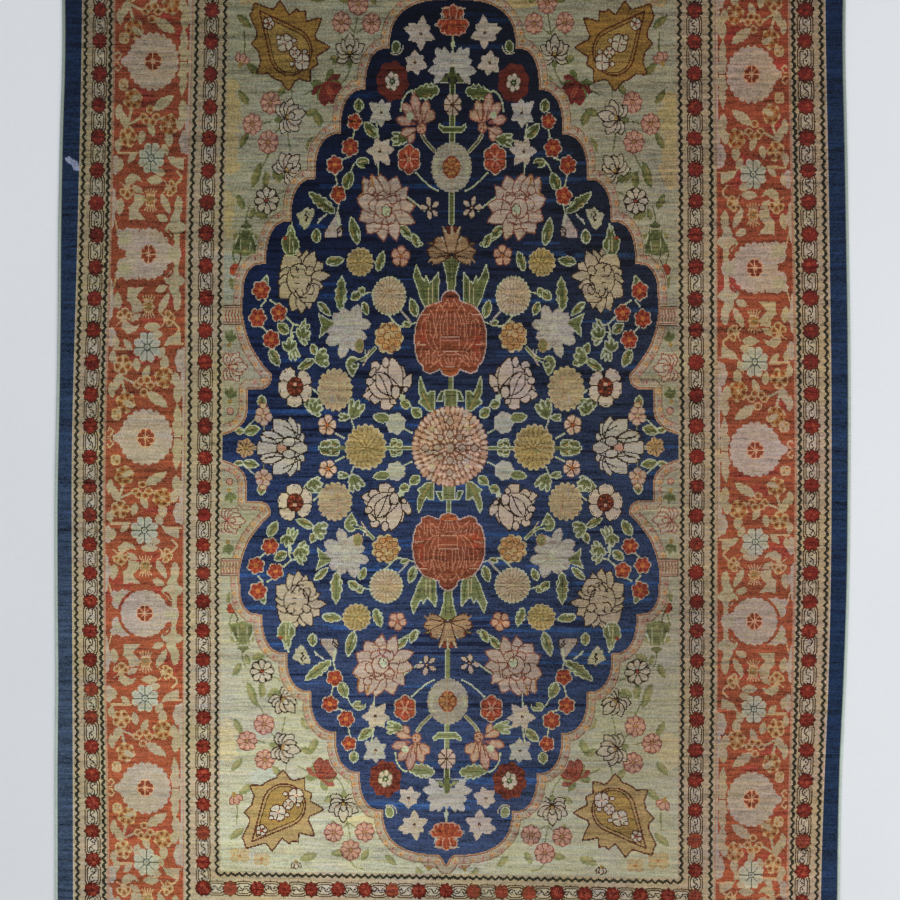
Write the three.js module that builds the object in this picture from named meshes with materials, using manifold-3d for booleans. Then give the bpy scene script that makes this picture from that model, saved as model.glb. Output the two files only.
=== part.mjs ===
// Hand-knotted silk rug, laid flat. Millimetres, +Z up.
// X runs across the rug and Y along its warps. The origin is the middle of the underside.
//
// carpet           foundation with the knotted pile standing on it, and a bare flat-woven strip at each end
// selvedge_*       overcast side cords along the two long edges
// fringe_*         warp ends at the two short edges, one comb each
import * as THREE from "three";
import Module from "manifold-3d";
import { mergeVertices } from "three/addons/utils/BufferGeometryUtils.js";

// ---- driving sizes ----
const LOWER_HALF = 679; // pile from the pattern's centre to the lower end
const UPPER_HALF = 753; // and to the upper end, where the knots were packed looser
const HALF_WIDTH = 455; // nominal half width of the pile, which the edge table corrects
const FOUNDATION = 1.3; // thickness of warps and wefts
const PILE = 1.7; // height of the pile over the foundation
const FLATWEAVE = 9; // bare woven strip past the pile at each end
const PILE_INSET = 0.4; // the pile stands this far in from the foundation's edge
const GAP = 0.3; // between neighbouring pieces
const CORD_WIDTH = 4.1; // side cord, across
const CORD_HEIGHT = 2.4; // side cord, thick
const CORD_EDGE = 0.9; // rounding of the side cord
const FRINGE_LENGTH = 42; // from the flat-woven strip to the tips
const FRINGE_HEADER = 2.2; // the twined line that the strands leave
const FRINGE_HEIGHT = 1.1;
const FRINGE_STRANDS = 104; // bunches of warp ends along one short edge
const STRAND_SHARE = 0.7; // a bunch's width as a share of the pitch
const EDGE_STEP = 35; // spacing of the points along a long edge

// How far each long edge stands out from the nominal half width, at stations along Y from the
// pattern's centre. The weaving drew in unevenly.
const EDGE_TABLE = [
  { y: -680, left: -1.2, right: -9.0 },
  { y: -475, left: -1.5, right: -7.2 },
  { y: -371, left: -1.5, right: -4.9 },
  { y: -267, left: -2.3, right: -0.3 },
  { y: -163, left: -1.5, right: 3.2 },
  { y: -59, left: -1.5, right: 4.5 },
  { y: 45, left: -3.4, right: 4.9 },
  { y: 149, left: -4.9, right: 4.2 },
  { y: 253, left: -5.6, right: 2.6 },
  { y: 357, left: -7.4, right: 0.7 },
  { y: 461, left: -10.3, right: -1.3 },
  { y: 560, left: -9.6, right: -0.6 },
  { y: 760, left: -9.0, right: -0.4 },
];

const wasm = await Module();
wasm.setup();

// ---- the uneven long edges ----
// Smooth value of one column of the edge table at y (Catmull-Rom between its rows).
function edgeValue(column, y) {
  const t = EDGE_TABLE;
  let i = 0;
  while (i < t.length - 2 && y > t[i + 1].y) i++;
  const at = (k) => t[Math.min(Math.max(k, 0), t.length - 1)];
  const [p0, p1, p2, p3] = [at(i - 1), at(i), at(i + 1), at(i + 2)];
  const s = Math.min(Math.max((y - p1.y) / (p2.y - p1.y), 0), 1);
  const [a, b, c, d] = [p0, p1, p2, p3].map((r) => r[column]);
  return (
    0.5 *
    (2 * b +
      (c - a) * s +
      (2 * a - 5 * b + 4 * c - d) * s * s +
      (3 * b - a - 3 * c + d) * s * s * s)
  );
}
const leftX = (y) => -HALF_WIDTH - edgeValue("left", y);
const rightX = (y) => HALF_WIDTH + edgeValue("right", y);

// Evenly spaced stations from a to b, no further apart than EDGE_STEP.
function stations(a, b) {
  const n = Math.ceil(Math.abs(b - a) / EDGE_STEP);
  return Array.from({ length: n + 1 }, (_, i) => a + ((b - a) * i) / n);
}

// Outline between two edge functions of y, from y0 to y1.
function band(lowX, highX, y0, y1) {
  const ys = stations(y0, y1);
  const points = [
    ...ys.map((y) => new THREE.Vector2(lowX(y), y)),
    ...ys.reverse().map((y) => new THREE.Vector2(highX(y), y)),
  ];
  return new THREE.Shape(points.reverse());
}

// ---- helpers to join solids ----
function toSolid(geometry) {
  const g = geometry.clone();
  g.deleteAttribute("normal");
  g.deleteAttribute("uv");
  const merged = mergeVertices(g, 1e-4);
  return new wasm.Manifold(
    new wasm.Mesh({
      numProp: 3,
      vertProperties: merged.attributes.position.array,
      triVerts: new Uint32Array(merged.index.array),
    }),
  );
}
function toGeometry(solid) {
  const m = solid.getMesh();
  const g = new THREE.BufferGeometry();
  g.setAttribute("position", new THREE.BufferAttribute(m.vertProperties, 3));
  g.setIndex(new THREE.BufferAttribute(m.triVerts, 1));
  g.computeVertexNormals();
  return g;
}

// ---- carpet: foundation with its flat-woven ends, and the pile on it ----
function carpetGeometry() {
  const foundation = new THREE.ExtrudeGeometry(
    band(leftX, rightX, -LOWER_HALF - FLATWEAVE, UPPER_HALF + FLATWEAVE),
    { depth: FOUNDATION, bevelEnabled: false },
  );
  const overlap = 0.4; // the pile's roots reach into the foundation
  const pile = new THREE.ExtrudeGeometry(
    band(
      (y) => leftX(y) + PILE_INSET,
      (y) => rightX(y) - PILE_INSET,
      -LOWER_HALF,
      UPPER_HALF,
    ),
    { depth: PILE + overlap, bevelEnabled: false },
  );
  pile.translate(0, 0, FOUNDATION - overlap);
  return toGeometry(toSolid(foundation).add(toSolid(pile)));
}

// ---- side cords: a strip with rounded edges along each long edge; side is -1 or +1 ----
function cordGeometry(edge, side) {
  const near = (y) => edge(y) + side * (GAP + CORD_EDGE);
  const far = (y) => edge(y) + side * (GAP + CORD_WIDTH - CORD_EDGE);
  const [low, high] = side > 0 ? [near, far] : [far, near];
  const g = new THREE.ExtrudeGeometry(
    band(low, high, -LOWER_HALF + CORD_EDGE, UPPER_HALF - CORD_EDGE),
    {
      depth: CORD_HEIGHT - 2 * CORD_EDGE,
      bevelEnabled: true,
      bevelThickness: CORD_EDGE,
      bevelSize: CORD_EDGE,
      bevelSegments: 2,
    },
  );
  g.translate(0, 0, CORD_EDGE);
  return g;
}

// ---- fringe: a header with tapering bunches, a little out of line as they lie; end is -1 or +1 ----
function fringeGeometry(end) {
  const y0 = end * ((end > 0 ? UPPER_HALF : LOWER_HALF) + FLATWEAVE + GAP);
  const first = leftX(y0) + 1;
  const last = rightX(y0) - 1;
  const pitch = (last - first) / FRINGE_STRANDS;
  const root = y0 + end * FRINGE_HEADER;
  const points = [new THREE.Vector2(first, y0)];
  for (let i = 0; i < FRINGE_STRANDS; i++) {
    const middle = first + (i + 0.5) * pitch;
    const half = (STRAND_SHARE * pitch) / 2;
    const lean = 0.9 * Math.sin(i * 0.37 + end) + 0.5 * Math.sin(i * 0.111);
    const tip =
      y0 + end * (FRINGE_LENGTH - 1.6 + 1.6 * Math.sin(i * 1.7 + 2 * end));
    points.push(
      new THREE.Vector2(middle - half, root),
      new THREE.Vector2(middle + lean - half * 0.8, tip),
      new THREE.Vector2(middle + lean + half * 0.8, tip),
      new THREE.Vector2(middle + half, root),
    );
  }
  points.push(new THREE.Vector2(last, y0));
  return new THREE.ExtrudeGeometry(
    new THREE.Shape(end > 0 ? points.reverse() : points),
    { depth: FRINGE_HEIGHT, bevelEnabled: false },
  );
}

// ---- materials ----
const silkPile = new THREE.MeshStandardMaterial({
  color: new THREE.Color(0.4, 0.33, 0.27),
  roughness: 0.6,
  metalness: 0,
});
const silkCord = new THREE.MeshStandardMaterial({
  color: new THREE.Color(0.5, 0.56, 0.49),
  roughness: 0.65,
  metalness: 0,
});
const silkWarp = new THREE.MeshStandardMaterial({
  color: new THREE.Color(0.66, 0.61, 0.5),
  roughness: 0.6,
  metalness: 0,
});

// ---- assembly ----
const pieces = [
  { name: "carpet", geometry: carpetGeometry(), material: silkPile },
  {
    name: "selvedge_left",
    geometry: cordGeometry(leftX, -1),
    material: silkCord,
  },
  {
    name: "selvedge_right",
    geometry: cordGeometry(rightX, 1),
    material: silkCord,
  },
  { name: "fringe_top", geometry: fringeGeometry(1), material: silkWarp },
  { name: "fringe_bottom", geometry: fringeGeometry(-1), material: silkWarp },
];
const rug = new THREE.Group();
rug.name = "silk_rug";
const box = new THREE.Box3();
for (const p of pieces) {
  p.geometry.computeBoundingBox();
  box.union(p.geometry.boundingBox);
}
const middle = box.getCenter(new THREE.Vector3());
for (const p of pieces) {
  const mesh = new THREE.Mesh(p.geometry, p.material);
  mesh.name = p.name;
  mesh.position.set(-middle.x, -middle.y, -box.min.z);
  rug.add(mesh);
}

export default rug;
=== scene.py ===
import math

import bpy
import numpy as np
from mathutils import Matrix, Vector
from mathutils.geometry import delaunay_2d_cdt


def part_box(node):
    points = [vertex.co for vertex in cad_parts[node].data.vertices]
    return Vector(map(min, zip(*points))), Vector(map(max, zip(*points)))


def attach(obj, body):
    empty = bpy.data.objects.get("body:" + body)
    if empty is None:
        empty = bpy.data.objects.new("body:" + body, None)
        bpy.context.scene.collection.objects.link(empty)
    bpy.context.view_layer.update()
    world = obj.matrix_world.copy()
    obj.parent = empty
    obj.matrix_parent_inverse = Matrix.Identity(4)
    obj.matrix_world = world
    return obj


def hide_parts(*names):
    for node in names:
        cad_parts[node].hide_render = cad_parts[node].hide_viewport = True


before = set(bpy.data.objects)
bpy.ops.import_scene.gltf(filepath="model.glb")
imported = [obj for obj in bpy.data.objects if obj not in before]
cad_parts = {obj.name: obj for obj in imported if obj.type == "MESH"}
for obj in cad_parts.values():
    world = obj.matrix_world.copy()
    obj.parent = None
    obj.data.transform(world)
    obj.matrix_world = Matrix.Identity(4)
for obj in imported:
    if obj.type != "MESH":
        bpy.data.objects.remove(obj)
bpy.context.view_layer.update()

# ---------------------------------------------------------------- the knot chart
# The pile is charted knot by knot. One chart unit is one knot. X and Y are counted from the
# pattern's centre, and a motif is drawn in its own frame with +y as the way it grows.

HALF_X, HALF_Y = 392, 587  # knots from the centre to the pile's sides and ends

DYES = {
    # name: sRGB of the silk at the middle of the rug
    "navy": (30, 40, 66),
    "navy2": (34, 54, 84),
    "edgeblue": (44, 60, 88),
    "terra": (124, 72, 50),
    "terra2": (138, 84, 58),
    "rust": (128, 62, 44),
    "rust2": (142, 74, 50),
    "darkred": (102, 30, 28),
    "rosered": (106, 54, 44),
    "maroon": (74, 36, 32),
    "peach": (164, 130, 108),
    "pink": (158, 124, 108),
    "pinkdeep": (124, 78, 68),
    "cream": (158, 149, 128),
    "ivory": (166, 158, 138),
    "tan": (146, 122, 96),
    "beige": (148, 135, 111),
    "field": (142, 138, 114),
    "celadon": (156, 160, 136),
    "mist": (154, 147, 130),
    "lilac": (146, 138, 126),
    "gold": (128, 100, 48),
    "gold2": (138, 114, 66),
    "olive": (108, 100, 60),
    "green": (62, 66, 36),
    "green2": (88, 90, 54),
    "deepgreen": (54, 66, 44),
    "teal": (92, 98, 94),
    "brown": (74, 50, 34),
    "black": (50, 38, 28),
    "zig": (44, 44, 33),
    "ochre": (140, 102, 58),
    "orange": (156, 96, 54),
    "camel": (139, 113, 85),
    "rustbrown": (118, 62, 42),
    "bandpink": (147, 134, 111),
    "ochrepale": (164, 136, 98),
    "peachcream": (160, 142, 125),
    "pinkbrown": (112, 70, 56),
    "creamyel": (161, 148, 112),
    "olivegold": (143, 126, 83),
    "starcream": (162, 150, 132),
    "fieldleaf": (88, 90, 56),
    "deepolive": (62, 66, 38),
    "guard": (152, 138, 112),
    "pinkline": (152, 118, 96),
    "guardred": (100, 40, 34),
    "guardline": (58, 42, 28),
    "yelline": (166, 142, 106),
    "borderleaf": (150, 140, 114),
    "borderleaf2": (142, 136, 114),
    "greylilac": (152, 138, 122),
    "greylilac2": (148, 134, 122),
    "heartpeach": (178, 142, 110),
    "paleblue": (158, 155, 134),
    "rosebrown": (124, 76, 62),
    "tanpink": (160, 128, 104),
    "rosepale": (166, 124, 102),
    "orange2": (150, 84, 50),
    "creamrose": (164, 144, 126),
    "palmcream": (156, 150, 138),
    "straw": (154, 141, 115),
    "lilypink": (167, 151, 136),
    "rosegrey": (146, 134, 122),
    "ivorycream": (169, 156, 135),
    "darkbrown": (78, 44, 32),
    "darkrust": (90, 44, 36),
    "camelpale": (145, 126, 94),
    "orangepale": (164, 112, 66),
    "strawgold": (150, 136, 104),
    "creamceladon": (150, 146, 118),
    "bandedge": (124, 98, 76),
    "bandred": (134, 92, 68),
    "terrared": (136, 66, 52),
    "navyink": (34, 38, 60),
    "navysea": (42, 62, 98),
    "leafgreen": (151, 146, 116),
    "tealdark": (66, 78, 68),
    "mistgreen": (149, 148, 130),
    "chrysline": (106, 74, 54),
    "chryscell": (150, 132, 114),
    "peachlight": (182, 158, 136),
    "fieldwarm": (150, 138, 104),
    "fieldcool": (139, 140, 119),
    "frost": (134, 142, 166),
    "sidesilk": (148, 142, 138),
    "goldline": (118, 96, 54),
    "goldlight": (164, 146, 96),
    "amber": (158, 112, 62),
    "amberline": (122, 82, 46),
    "urnred": (118, 66, 47),
    "urnline": (156, 106, 82),
    "rosettecream": (141, 133, 114),
    "bandbeige": (148, 137, 116),
    "pinkivory": (166, 146, 134),
    "weft": (168, 160, 138),
    "cordsilk": (162, 174, 166),
    "warpsilk": (186, 180, 160),
}
# sRGB at the upper end, the middle and the lower end, where a dye is not just painted paler below; the end tones are
# painted light, the pile's sheen deeper at the upper end and paler at the lower
DYE_AND_SHEEN_STOPS = {
    "navy": ((15, 18, 30), (43, 53, 77), (61, 72, 99)),
    "rosered": ((78, 37, 32), (106, 54, 44), (146, 92, 74)),
    "green": ((44, 47, 26), (74, 79, 46), (100, 104, 66)),
    "green2": ((56, 60, 33), (99, 102, 66), (132, 135, 96)),
    "deepgreen": ((42, 49, 30), (66, 76, 48), (92, 100, 66)),
    "celadon": ((122, 126, 100), (158, 162, 134), (176, 180, 150)),
    "mist": ((128, 122, 110), (156, 151, 138), (164, 161, 150)),
    "darkred": ((92, 32, 29), (106, 38, 33), (128, 60, 48)),
    "fieldwarm": ((128, 115, 80), (156, 143, 108), (188, 178, 142)),
    "fieldcool": ((116, 116, 96), (139, 140, 119), (172, 173, 156)),
    "edgeblue": ((25, 37, 58), (41, 56, 79), (50, 65, 87)),
    "borderleaf": ((132, 121, 94), (157, 144, 114), (163, 150, 121)),
    "borderleaf2": ((131, 118, 93), (156, 142, 113), (164, 148, 121)),
    "greylilac": ((134, 119, 103), (159, 145, 127), (164, 152, 134)),
    "greylilac2": ((127, 115, 100), (153, 140, 121), (160, 147, 127)),
    "leafgreen": ((130, 121, 96), (153, 145, 117), (163, 154, 125)),
    "terrared": ((112, 50, 41), (134, 66, 52), (150, 76, 58)),
    "navyink": ((10, 11, 21), (27, 31, 50), (42, 49, 74)),
    "navysea": ((17, 28, 46), (44, 66, 102), (62, 88, 130)),
    "terra": ((108, 57, 40), (131, 74, 51), (149, 84, 58)),
    "field": ((118, 115, 95), (140, 136, 113), (175, 173, 146)),
    "gold": ((106, 82, 42), (134, 110, 66), (160, 138, 96)),
    "ochre": ((118, 82, 48), (142, 104, 60), (158, 122, 80)),
    "fieldleaf": ((70, 74, 44), (94, 98, 62), (132, 134, 92)),
    "guardred": ((77, 36, 31), (102, 42, 33), (102, 39, 29)),
    "maroon": ((70, 33, 28), (86, 42, 33), (124, 68, 48)),
    "olive": ((92, 86, 52), (114, 110, 72), (152, 146, 102)),
    "deepolive": ((58, 62, 38), (82, 86, 56), (114, 114, 78)),
}
DYE_NAMES = list(DYES)
DYE = {n: i + 1 for i, n in enumerate(DYE_NAMES)}


class Chart:
    def __init__(self, half_x, half_y):
        self.hx, self.hy = half_x, half_y
        self.grid = np.zeros((2 * half_y, 2 * half_x), np.uint8)
        self.mask = None  # where painting is let through

    def put(self, rows, cols, dye):
        ok = (rows >= 0) & (rows < 2 * self.hy) & (cols >= 0) & (cols < 2 * self.hx)
        rows, cols = rows[ok], cols[ok]
        if self.mask is not None:
            ok = self.mask[rows, cols]
            rows, cols = rows[ok], cols[ok]
        self.grid[rows, cols] = dye

    def fill(self, pts, dye):
        x = pts[:, 0] + self.hx
        y = pts[:, 1] + self.hy
        x2, y2 = np.roll(x, -1), np.roll(y, -1)
        rr, xx = [], []
        for a, b, c, d in zip(x, y, x2, y2):
            if b == d:
                continue
            if b > d:
                a, b, c, d = c, d, a, b
            r = np.arange(math.ceil(b - 0.5), math.ceil(d - 0.5))
            if len(r) == 0:
                continue
            rr.append(r)
            xx.append(a + (r + 0.5 - b) * (c - a) / (d - b))
        if not rr:
            return
        rr, xx = np.concatenate(rr), np.concatenate(xx)
        order = np.lexsort((xx, rr))
        rr, xx = rr[order], xx[order]
        lo = np.ceil(xx[0::2] - 0.5).astype(int)
        hi = np.floor(xx[1::2] - 0.5).astype(int)
        for r, a, b in zip(rr[0::2], lo, hi):
            if b >= a:
                cols = np.arange(a, b + 1)
                self.put(np.full(len(cols), r), cols, dye)

    def stroke(self, pts, width, dye):
        x = pts[:, 0] + self.hx
        y = pts[:, 1] + self.hy
        if width <= 1.3:
            rows, cols = [], []
            for a, b, c, d in zip(x[:-1], y[:-1], x[1:], y[1:]):
                n = max(2, int(math.hypot(c - a, d - b) / 0.4) + 1)
                t = np.linspace(0, 1, n)
                cols.append(np.floor(a + (c - a) * t))
                rows.append(np.floor(b + (d - b) * t))
            if rows:
                self.put(
                    np.concatenate(rows).astype(int),
                    np.concatenate(cols).astype(int),
                    dye,
                )
            return
        h = width / 2
        for a, b, c, d in zip(x[:-1], y[:-1], x[1:], y[1:]):
            c0, c1 = int(min(a, c) - h) - 1, int(max(a, c) + h) + 2
            r0, r1 = int(min(b, d) - h) - 1, int(max(b, d) + h) + 2
            cc, rr = np.meshgrid(np.arange(c0, c1), np.arange(r0, r1))
            px, py = cc + 0.5 - a, rr + 0.5 - b
            ll = (c - a) ** 2 + (d - b) ** 2
            t = (
                np.clip((px * (c - a) + py * (d - b)) / ll, 0, 1)
                if ll > 0
                else np.zeros_like(px)
            )
            near = (px - t * (c - a)) ** 2 + (py - t * (d - b)) ** 2 <= h * h
            self.put(rr[near], cc[near], dye)


class Pen:
    """Draws in a placed, turned and mirrored frame on a chart."""

    def __init__(self, chart, m=None):
        self.chart = chart
        self.m = np.eye(3) if m is None else m

    def at(self, x=0.0, y=0.0, deg=0.0, sx=1.0, sy=None):
        sy = sx if sy is None else sy
        a = math.radians(deg)
        c, s = math.cos(a), math.sin(a)
        k = np.array([[c * sx, -s * sy, x], [s * sx, c * sy, y], [0, 0, 1.0]])
        return Pen(self.chart, self.m @ k)

    def pts(self, pts):
        pts = np.asarray(pts, float)
        return pts @ self.m[:2, :2].T + self.m[:2, 2]

    def fill(self, pts, dye):
        self.chart.fill(self.pts(pts), DYE[dye])

    def line(self, pts, dye, width=1.0):
        self.chart.stroke(self.pts(pts), width, DYE[dye])

    def loop(self, pts, dye, width=1.0):
        pts = np.asarray(pts, float)
        self.line(np.vstack([pts, pts[:1]]), dye, width)

    def shape(self, pts, dye, edge=None, width=1.0):
        self.fill(pts, dye)
        if edge:
            self.loop(pts, edge, width)

    def dot(self, x, y, r, dye, ry=None):
        self.fill(ellipse(r, ry or r, x=x, y=y), dye)


# ---- outlines ----
def ellipse(rx, ry=None, n=20, x=0.0, y=0.0):
    ry = rx if ry is None else ry
    a = np.linspace(0, 2 * np.pi, n, endpoint=False)
    return np.column_stack([x + rx * np.cos(a), y + ry * np.sin(a)])


def lobed(r, n, depth, ry=None, turn=0.0, step=7):
    """A disc with n round lobes; depth is the share of r that the notches cut in."""
    ry = r if ry is None else ry
    a = np.linspace(0, 2 * np.pi, n * step, endpoint=False)
    f = 1 - depth * (1 - np.abs(np.cos(n * (a - math.radians(turn)) / 2)))
    return np.column_stack([r * f * np.cos(a), ry * f * np.sin(a)])


def toothed(r, n, depth, ry=None, turn=0.0):
    """A disc with n pointed teeth."""
    ry = r if ry is None else ry
    a = np.linspace(0, 2 * np.pi, n * 2, endpoint=False) + math.radians(turn)
    f = np.where(np.arange(n * 2) % 2 == 0, 1.0, 1 - depth)
    return np.column_stack([r * f * np.cos(a), ry * f * np.sin(a)])


def petal(r0, r1, w, belly=0.6, point=0.0, n=9):
    """A petal along +y from r0 to r1, half width w, widest at belly, round or pointed."""
    t = np.linspace(0, 1, n)
    p = math.log(0.5) / math.log(belly)
    s = np.clip(np.sin(np.pi * t**p), 0, 1) ** (0.5 + 0.5 * point)
    y = r0 + (r1 - r0) * t
    right = np.column_stack([w * s, y])
    left = np.column_stack([-w * s, y])[::-1][1:-1]
    return np.vstack([right, left])


def leaf(length, w, bend=0.0, teeth=0, depth=0.3, belly=0.45):
    """A leaf from the origin along +y, its midrib bent sideways, with teeth on each side."""
    n = max(10, teeth * 2 + 1)
    t = np.linspace(0, 1, n)
    p = math.log(0.5) / math.log(belly)
    s = w * np.clip(np.sin(np.pi * t**p), 0, 1) ** 0.75
    if teeth:
        s = s * np.where(np.arange(n) % 2 == 0, 1 - depth, 1.0)
    mid = bend * np.sin(np.pi * t / 2) ** 2
    y = length * t
    right = np.column_stack([mid + s, y])
    left = np.column_stack([mid - s, y])[::-1][1:-1]
    return np.vstack([right, left])


def arc(r, a0, a1, n=10, x=0.0, y=0.0, ry=None):
    ry = r if ry is None else ry
    a = np.radians(np.linspace(a0, a1, n))
    return np.column_stack([x + r * np.cos(a), y + ry * np.sin(a)])


def smooth(points, n=6, closed=False):
    """A smooth curve through a few points."""
    p = np.asarray(points, float)
    m = len(p)
    out = []
    last = m if closed else m - 1
    for i in range(last):
        if closed:
            a, b, c, d = p[(i - 1) % m], p[i], p[(i + 1) % m], p[(i + 2) % m]
        else:
            a, b, c, d = p[max(i - 1, 0)], p[i], p[i + 1], p[min(i + 2, m - 1)]
        for k in range(n):
            t = k / n
            out.append(
                0.5
                * (
                    2 * b
                    + (c - a) * t
                    + (2 * a - 5 * b + 4 * c - d) * t * t
                    + (3 * b - a - 3 * c + d) * t**3
                )
            )
    if not closed:
        out.append(p[-1])
    return np.array(out)


# ---- motifs ----
def stem(pen, points, dye="green", edge="celadon", width=2.0):
    path = smooth(points, 5)
    if width < 1.7:
        pen.line(path, "celadon", 1.5)
        return
    if edge:
        pen.line(path, edge, width + 1.8)
    pen.line(path, dye, width)


def green_leaf(pen, length, w, bend=0.0, teeth=0, dye="green2", edge="celadon", vein="green", depth=0.3):
    pen.shape(leaf(length, w, bend, teeth, depth), dye, edge)
    if vein:
        pen.line([(0, length * 0.15), (bend * 0.5, length * 0.5), (bend * 0.9, length * 0.8)], vein)
        if edge == "celadon" and w > 2.6:
            for s, a, b in ((1, 0.34, 0.6), (-1, 0.22, 0.44)):
                pen.line([(s * w * 0.46 + bend * 0.3, length * a), (s * w * 0.5 + bend * 0.5, length * b)], "gold2" if s > 0 else "celadon")


def hand_leaf(pen, length, w, fingers=3, dye="green2", edge="celadon", vein="green"):
    """A leaf whose end splits into fingers, each with its own pale outline."""
    body = [(-w * 0.2, 0), (-w * 0.75, length * 0.28), (-w, length * 0.6), (w, length * 0.6), (w * 0.75, length * 0.28), (w * 0.2, 0)]
    pen.shape(body, dye, edge)
    step = 2 * w / fingers
    for k in range(fingers):
        a = k - (fingers - 1) / 2
        q = pen.at(a * step * 0.9, length * 0.42, -a * 9)
        q.shape(petal(0, length * 0.6 * (1 - 0.1 * abs(a)), step * 0.46, 0.6, 0.2), dye, edge)
    pen.fill([(-w * 0.5, length * 0.3), (-w * 0.74, length * 0.58), (w * 0.74, length * 0.58), (w * 0.5, length * 0.3)], dye)
    if vein:
        pen.line([(0, length * 0.12), (0, length * 0.56)], vein)


def crown_leaf(pen, length, w, tips=3, dye="green2", edge="celadon", vein="green"):
    """A leaf that opens into a few tips."""
    for k in range(tips):
        a = (k - (tips - 1) / 2) * 34
        q = pen.at(0, 0, a)
        big = 1.0 - 0.12 * abs(k - (tips - 1) / 2)
        q.shape(petal(0, length * big, w * 0.42, 0.55, 0.8), dye, edge)
    for k in range(tips):
        a = (k - (tips - 1) / 2) * 34
        q = pen.at(0, 0, a)
        q.fill(petal(1, length * 0.8, w * 0.26, 0.55, 0.6), dye)
        if vein:
            q.line([(0, length * 0.2), (0, length * 0.62)], vein)


def curl(pen, r, dye="green2", edge="celadon", turns=1.15, width=2.6, tail=6):
    """A small scrolled tendril that starts at the origin and winds up."""
    a = np.linspace(0, 2 * np.pi * turns, 22)
    rr = r * (1 - 0.72 * a / a[-1])
    x = r - rr * np.cos(a)
    y = tail + rr * np.sin(a)
    path = np.vstack([[(0, 0)], np.column_stack([x, y])])
    pen.line(path, edge, width + 1.6)
    pen.line(path, dye, max(1.0, width - 1.4))


def small_flower(pen, r, fill="rust", edge="cream", heart="orange", mark="darkred", n=6, hot="rust2"):
    """A little round blossom with an outline, a heart and a ring of strokes."""
    pen.fill(lobed(r, n, 0.24, turn=12), edge)
    pen.fill(lobed(r - 1.15, n, 0.22, turn=12), fill)
    for k in range(n):
        q = pen.at(0, 0, 360 * k / n + 12 + 180 / n)
        q.line([(0, r * 0.34), (0, r * 0.84)], mark)
        q = pen.at(0, 0, 360 * k / n + 12)
        q.line([(0, r * 0.45), (0, r * 0.68)], hot, 1.4)
    pen.dot(0, 0, r * 0.26, heart)


def petal_flower(pen, r, n, fill, edge, heart, w=None, heart_r=None, belly=0.66, point=0.0, turn=0.0, fill2=None, r0=0.1, gap=0.0):
    """A flower of separate petals, each outlined."""
    w = w or r * math.sin(math.pi / n) * 0.92
    for k in range(n):
        q = pen.at(0, 0, turn + 360 * k / n)
        f = fill2 if (fill2 and k % 2) else fill
        q.shape(petal(r * r0 + gap, r, w, belly, point), f, edge)
    if heart:
        pen.dot(0, 0, heart_r or r * 0.2, heart)


def star(pen, r, n, fill, heart="brown", w=None, turn=0.0, point=0.7, shade=None, heart_r=1.3):
    w = w or r * 0.36
    if shade:
        for k in range(n):
            pen.at(0, 0, turn + 360 * k / n).fill(petal(0, r + 1, w + 1, 0.5, point), shade)
    for k in range(n):
        pen.at(0, 0, turn + 360 * k / n).fill(petal(0, r, w, 0.5, point), fill)
    pen.dot(0, 0, r * 0.42, fill)
    if heart:
        pen.dot(0, 0, heart_r, heart)


def round_rosette(pen, r, ry, n, fill, rim, tick=None, ring=None, heart=None):
    """A flat disc of a flower with a finely lobed rim."""
    pen.fill(lobed(r, n, 0.1, ry), rim)
    pen.fill(lobed(r - 1.6, n, 0.1, ry - 1.6), fill)
    if tick:
        for k in range(n):
            a = 2 * math.pi * (k + 0.5) / n
            c, s = math.cos(a), math.sin(a)
            pen.line([(r * 0.8 * c, ry * 0.8 * s), (r * 0.96 * c, ry * 0.96 * s)], tick)
    if ring:
        pen.loop(ellipse(r * 0.55, ry * 0.55), ring)
    if heart:
        pen.dot(0, 0, r * 0.2, heart)


def fan(pen, r, petals, spread, fill, edge, w, point=0.6, tips=None, belly=0.62, short=0.15, fill2=None):
    """Petals opened like a fan about +y, the middle one in front."""
    half = (petals - 1) / 2
    order = sorted(range(petals), key=lambda k: -abs(k - half))
    for k in order:
        a = (half - k) / max(half, 1) * spread
        long = r * (1 - short * abs(k - half) / max(half, 1))
        q = pen.at(0, 0, a)
        f = fill2 if (fill2 and k % 2) else fill
        q.shape(petal(0, long, w, belly, point), f, edge)
        if tips:
            q.dot(0, long * 0.82, max(0.8, w * 0.3), tips)


def lotus(pen, r, fill, edge, heart, calyx="green2", calyx_edge="celadon", shade=None, n=7, spread=118, w=None):
    """A big side-view blossom: a fan of outer petals, a nearer row, and a rounded heart."""
    w = w or r * 0.26
    base = -r * 0.62
    p = pen.at(0, base)
    for s in (-1, 1):
        p.at(0, 0, s * (spread + 34)).shape(petal(0, r * 0.62, w * 0.8, 0.6, 0.5), fill, edge)
    fan(p, r * 1.62, n, spread * 0.74, fill, edge, w * 1.15, 0.55, short=0.34)
    fan(p, r * 1.16, 5, spread * 0.52, shade or fill, edge, w * 1.05, 0.2, short=0.2)
    p.shape(ellipse(r * 0.4, r * 0.46, y=r * 0.5), fill, edge)
    p.loop(ellipse(r * 0.22, r * 0.26, y=r * 0.5), edge)
    p.dot(0, r * 0.5, r * 0.1, heart)
    for s in (-1, 1):
        p.at(0, 0, s * 62).shape(petal(0, r * 0.6, w * 0.6, 0.6, 0.6), fill, edge)
    if calyx:
        p.shape([(-r * 0.16, r * 0.04), (0, r * 0.2), (r * 0.16, r * 0.04), (r * 0.07, -r * 0.2), (-r * 0.07, -r * 0.2)], calyx, calyx_edge)


# ---------------------------------------------------------------- the design
FIELD_X, FIELD_Y = 227.5, 422.5  # half sizes of the field inside the borders

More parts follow.
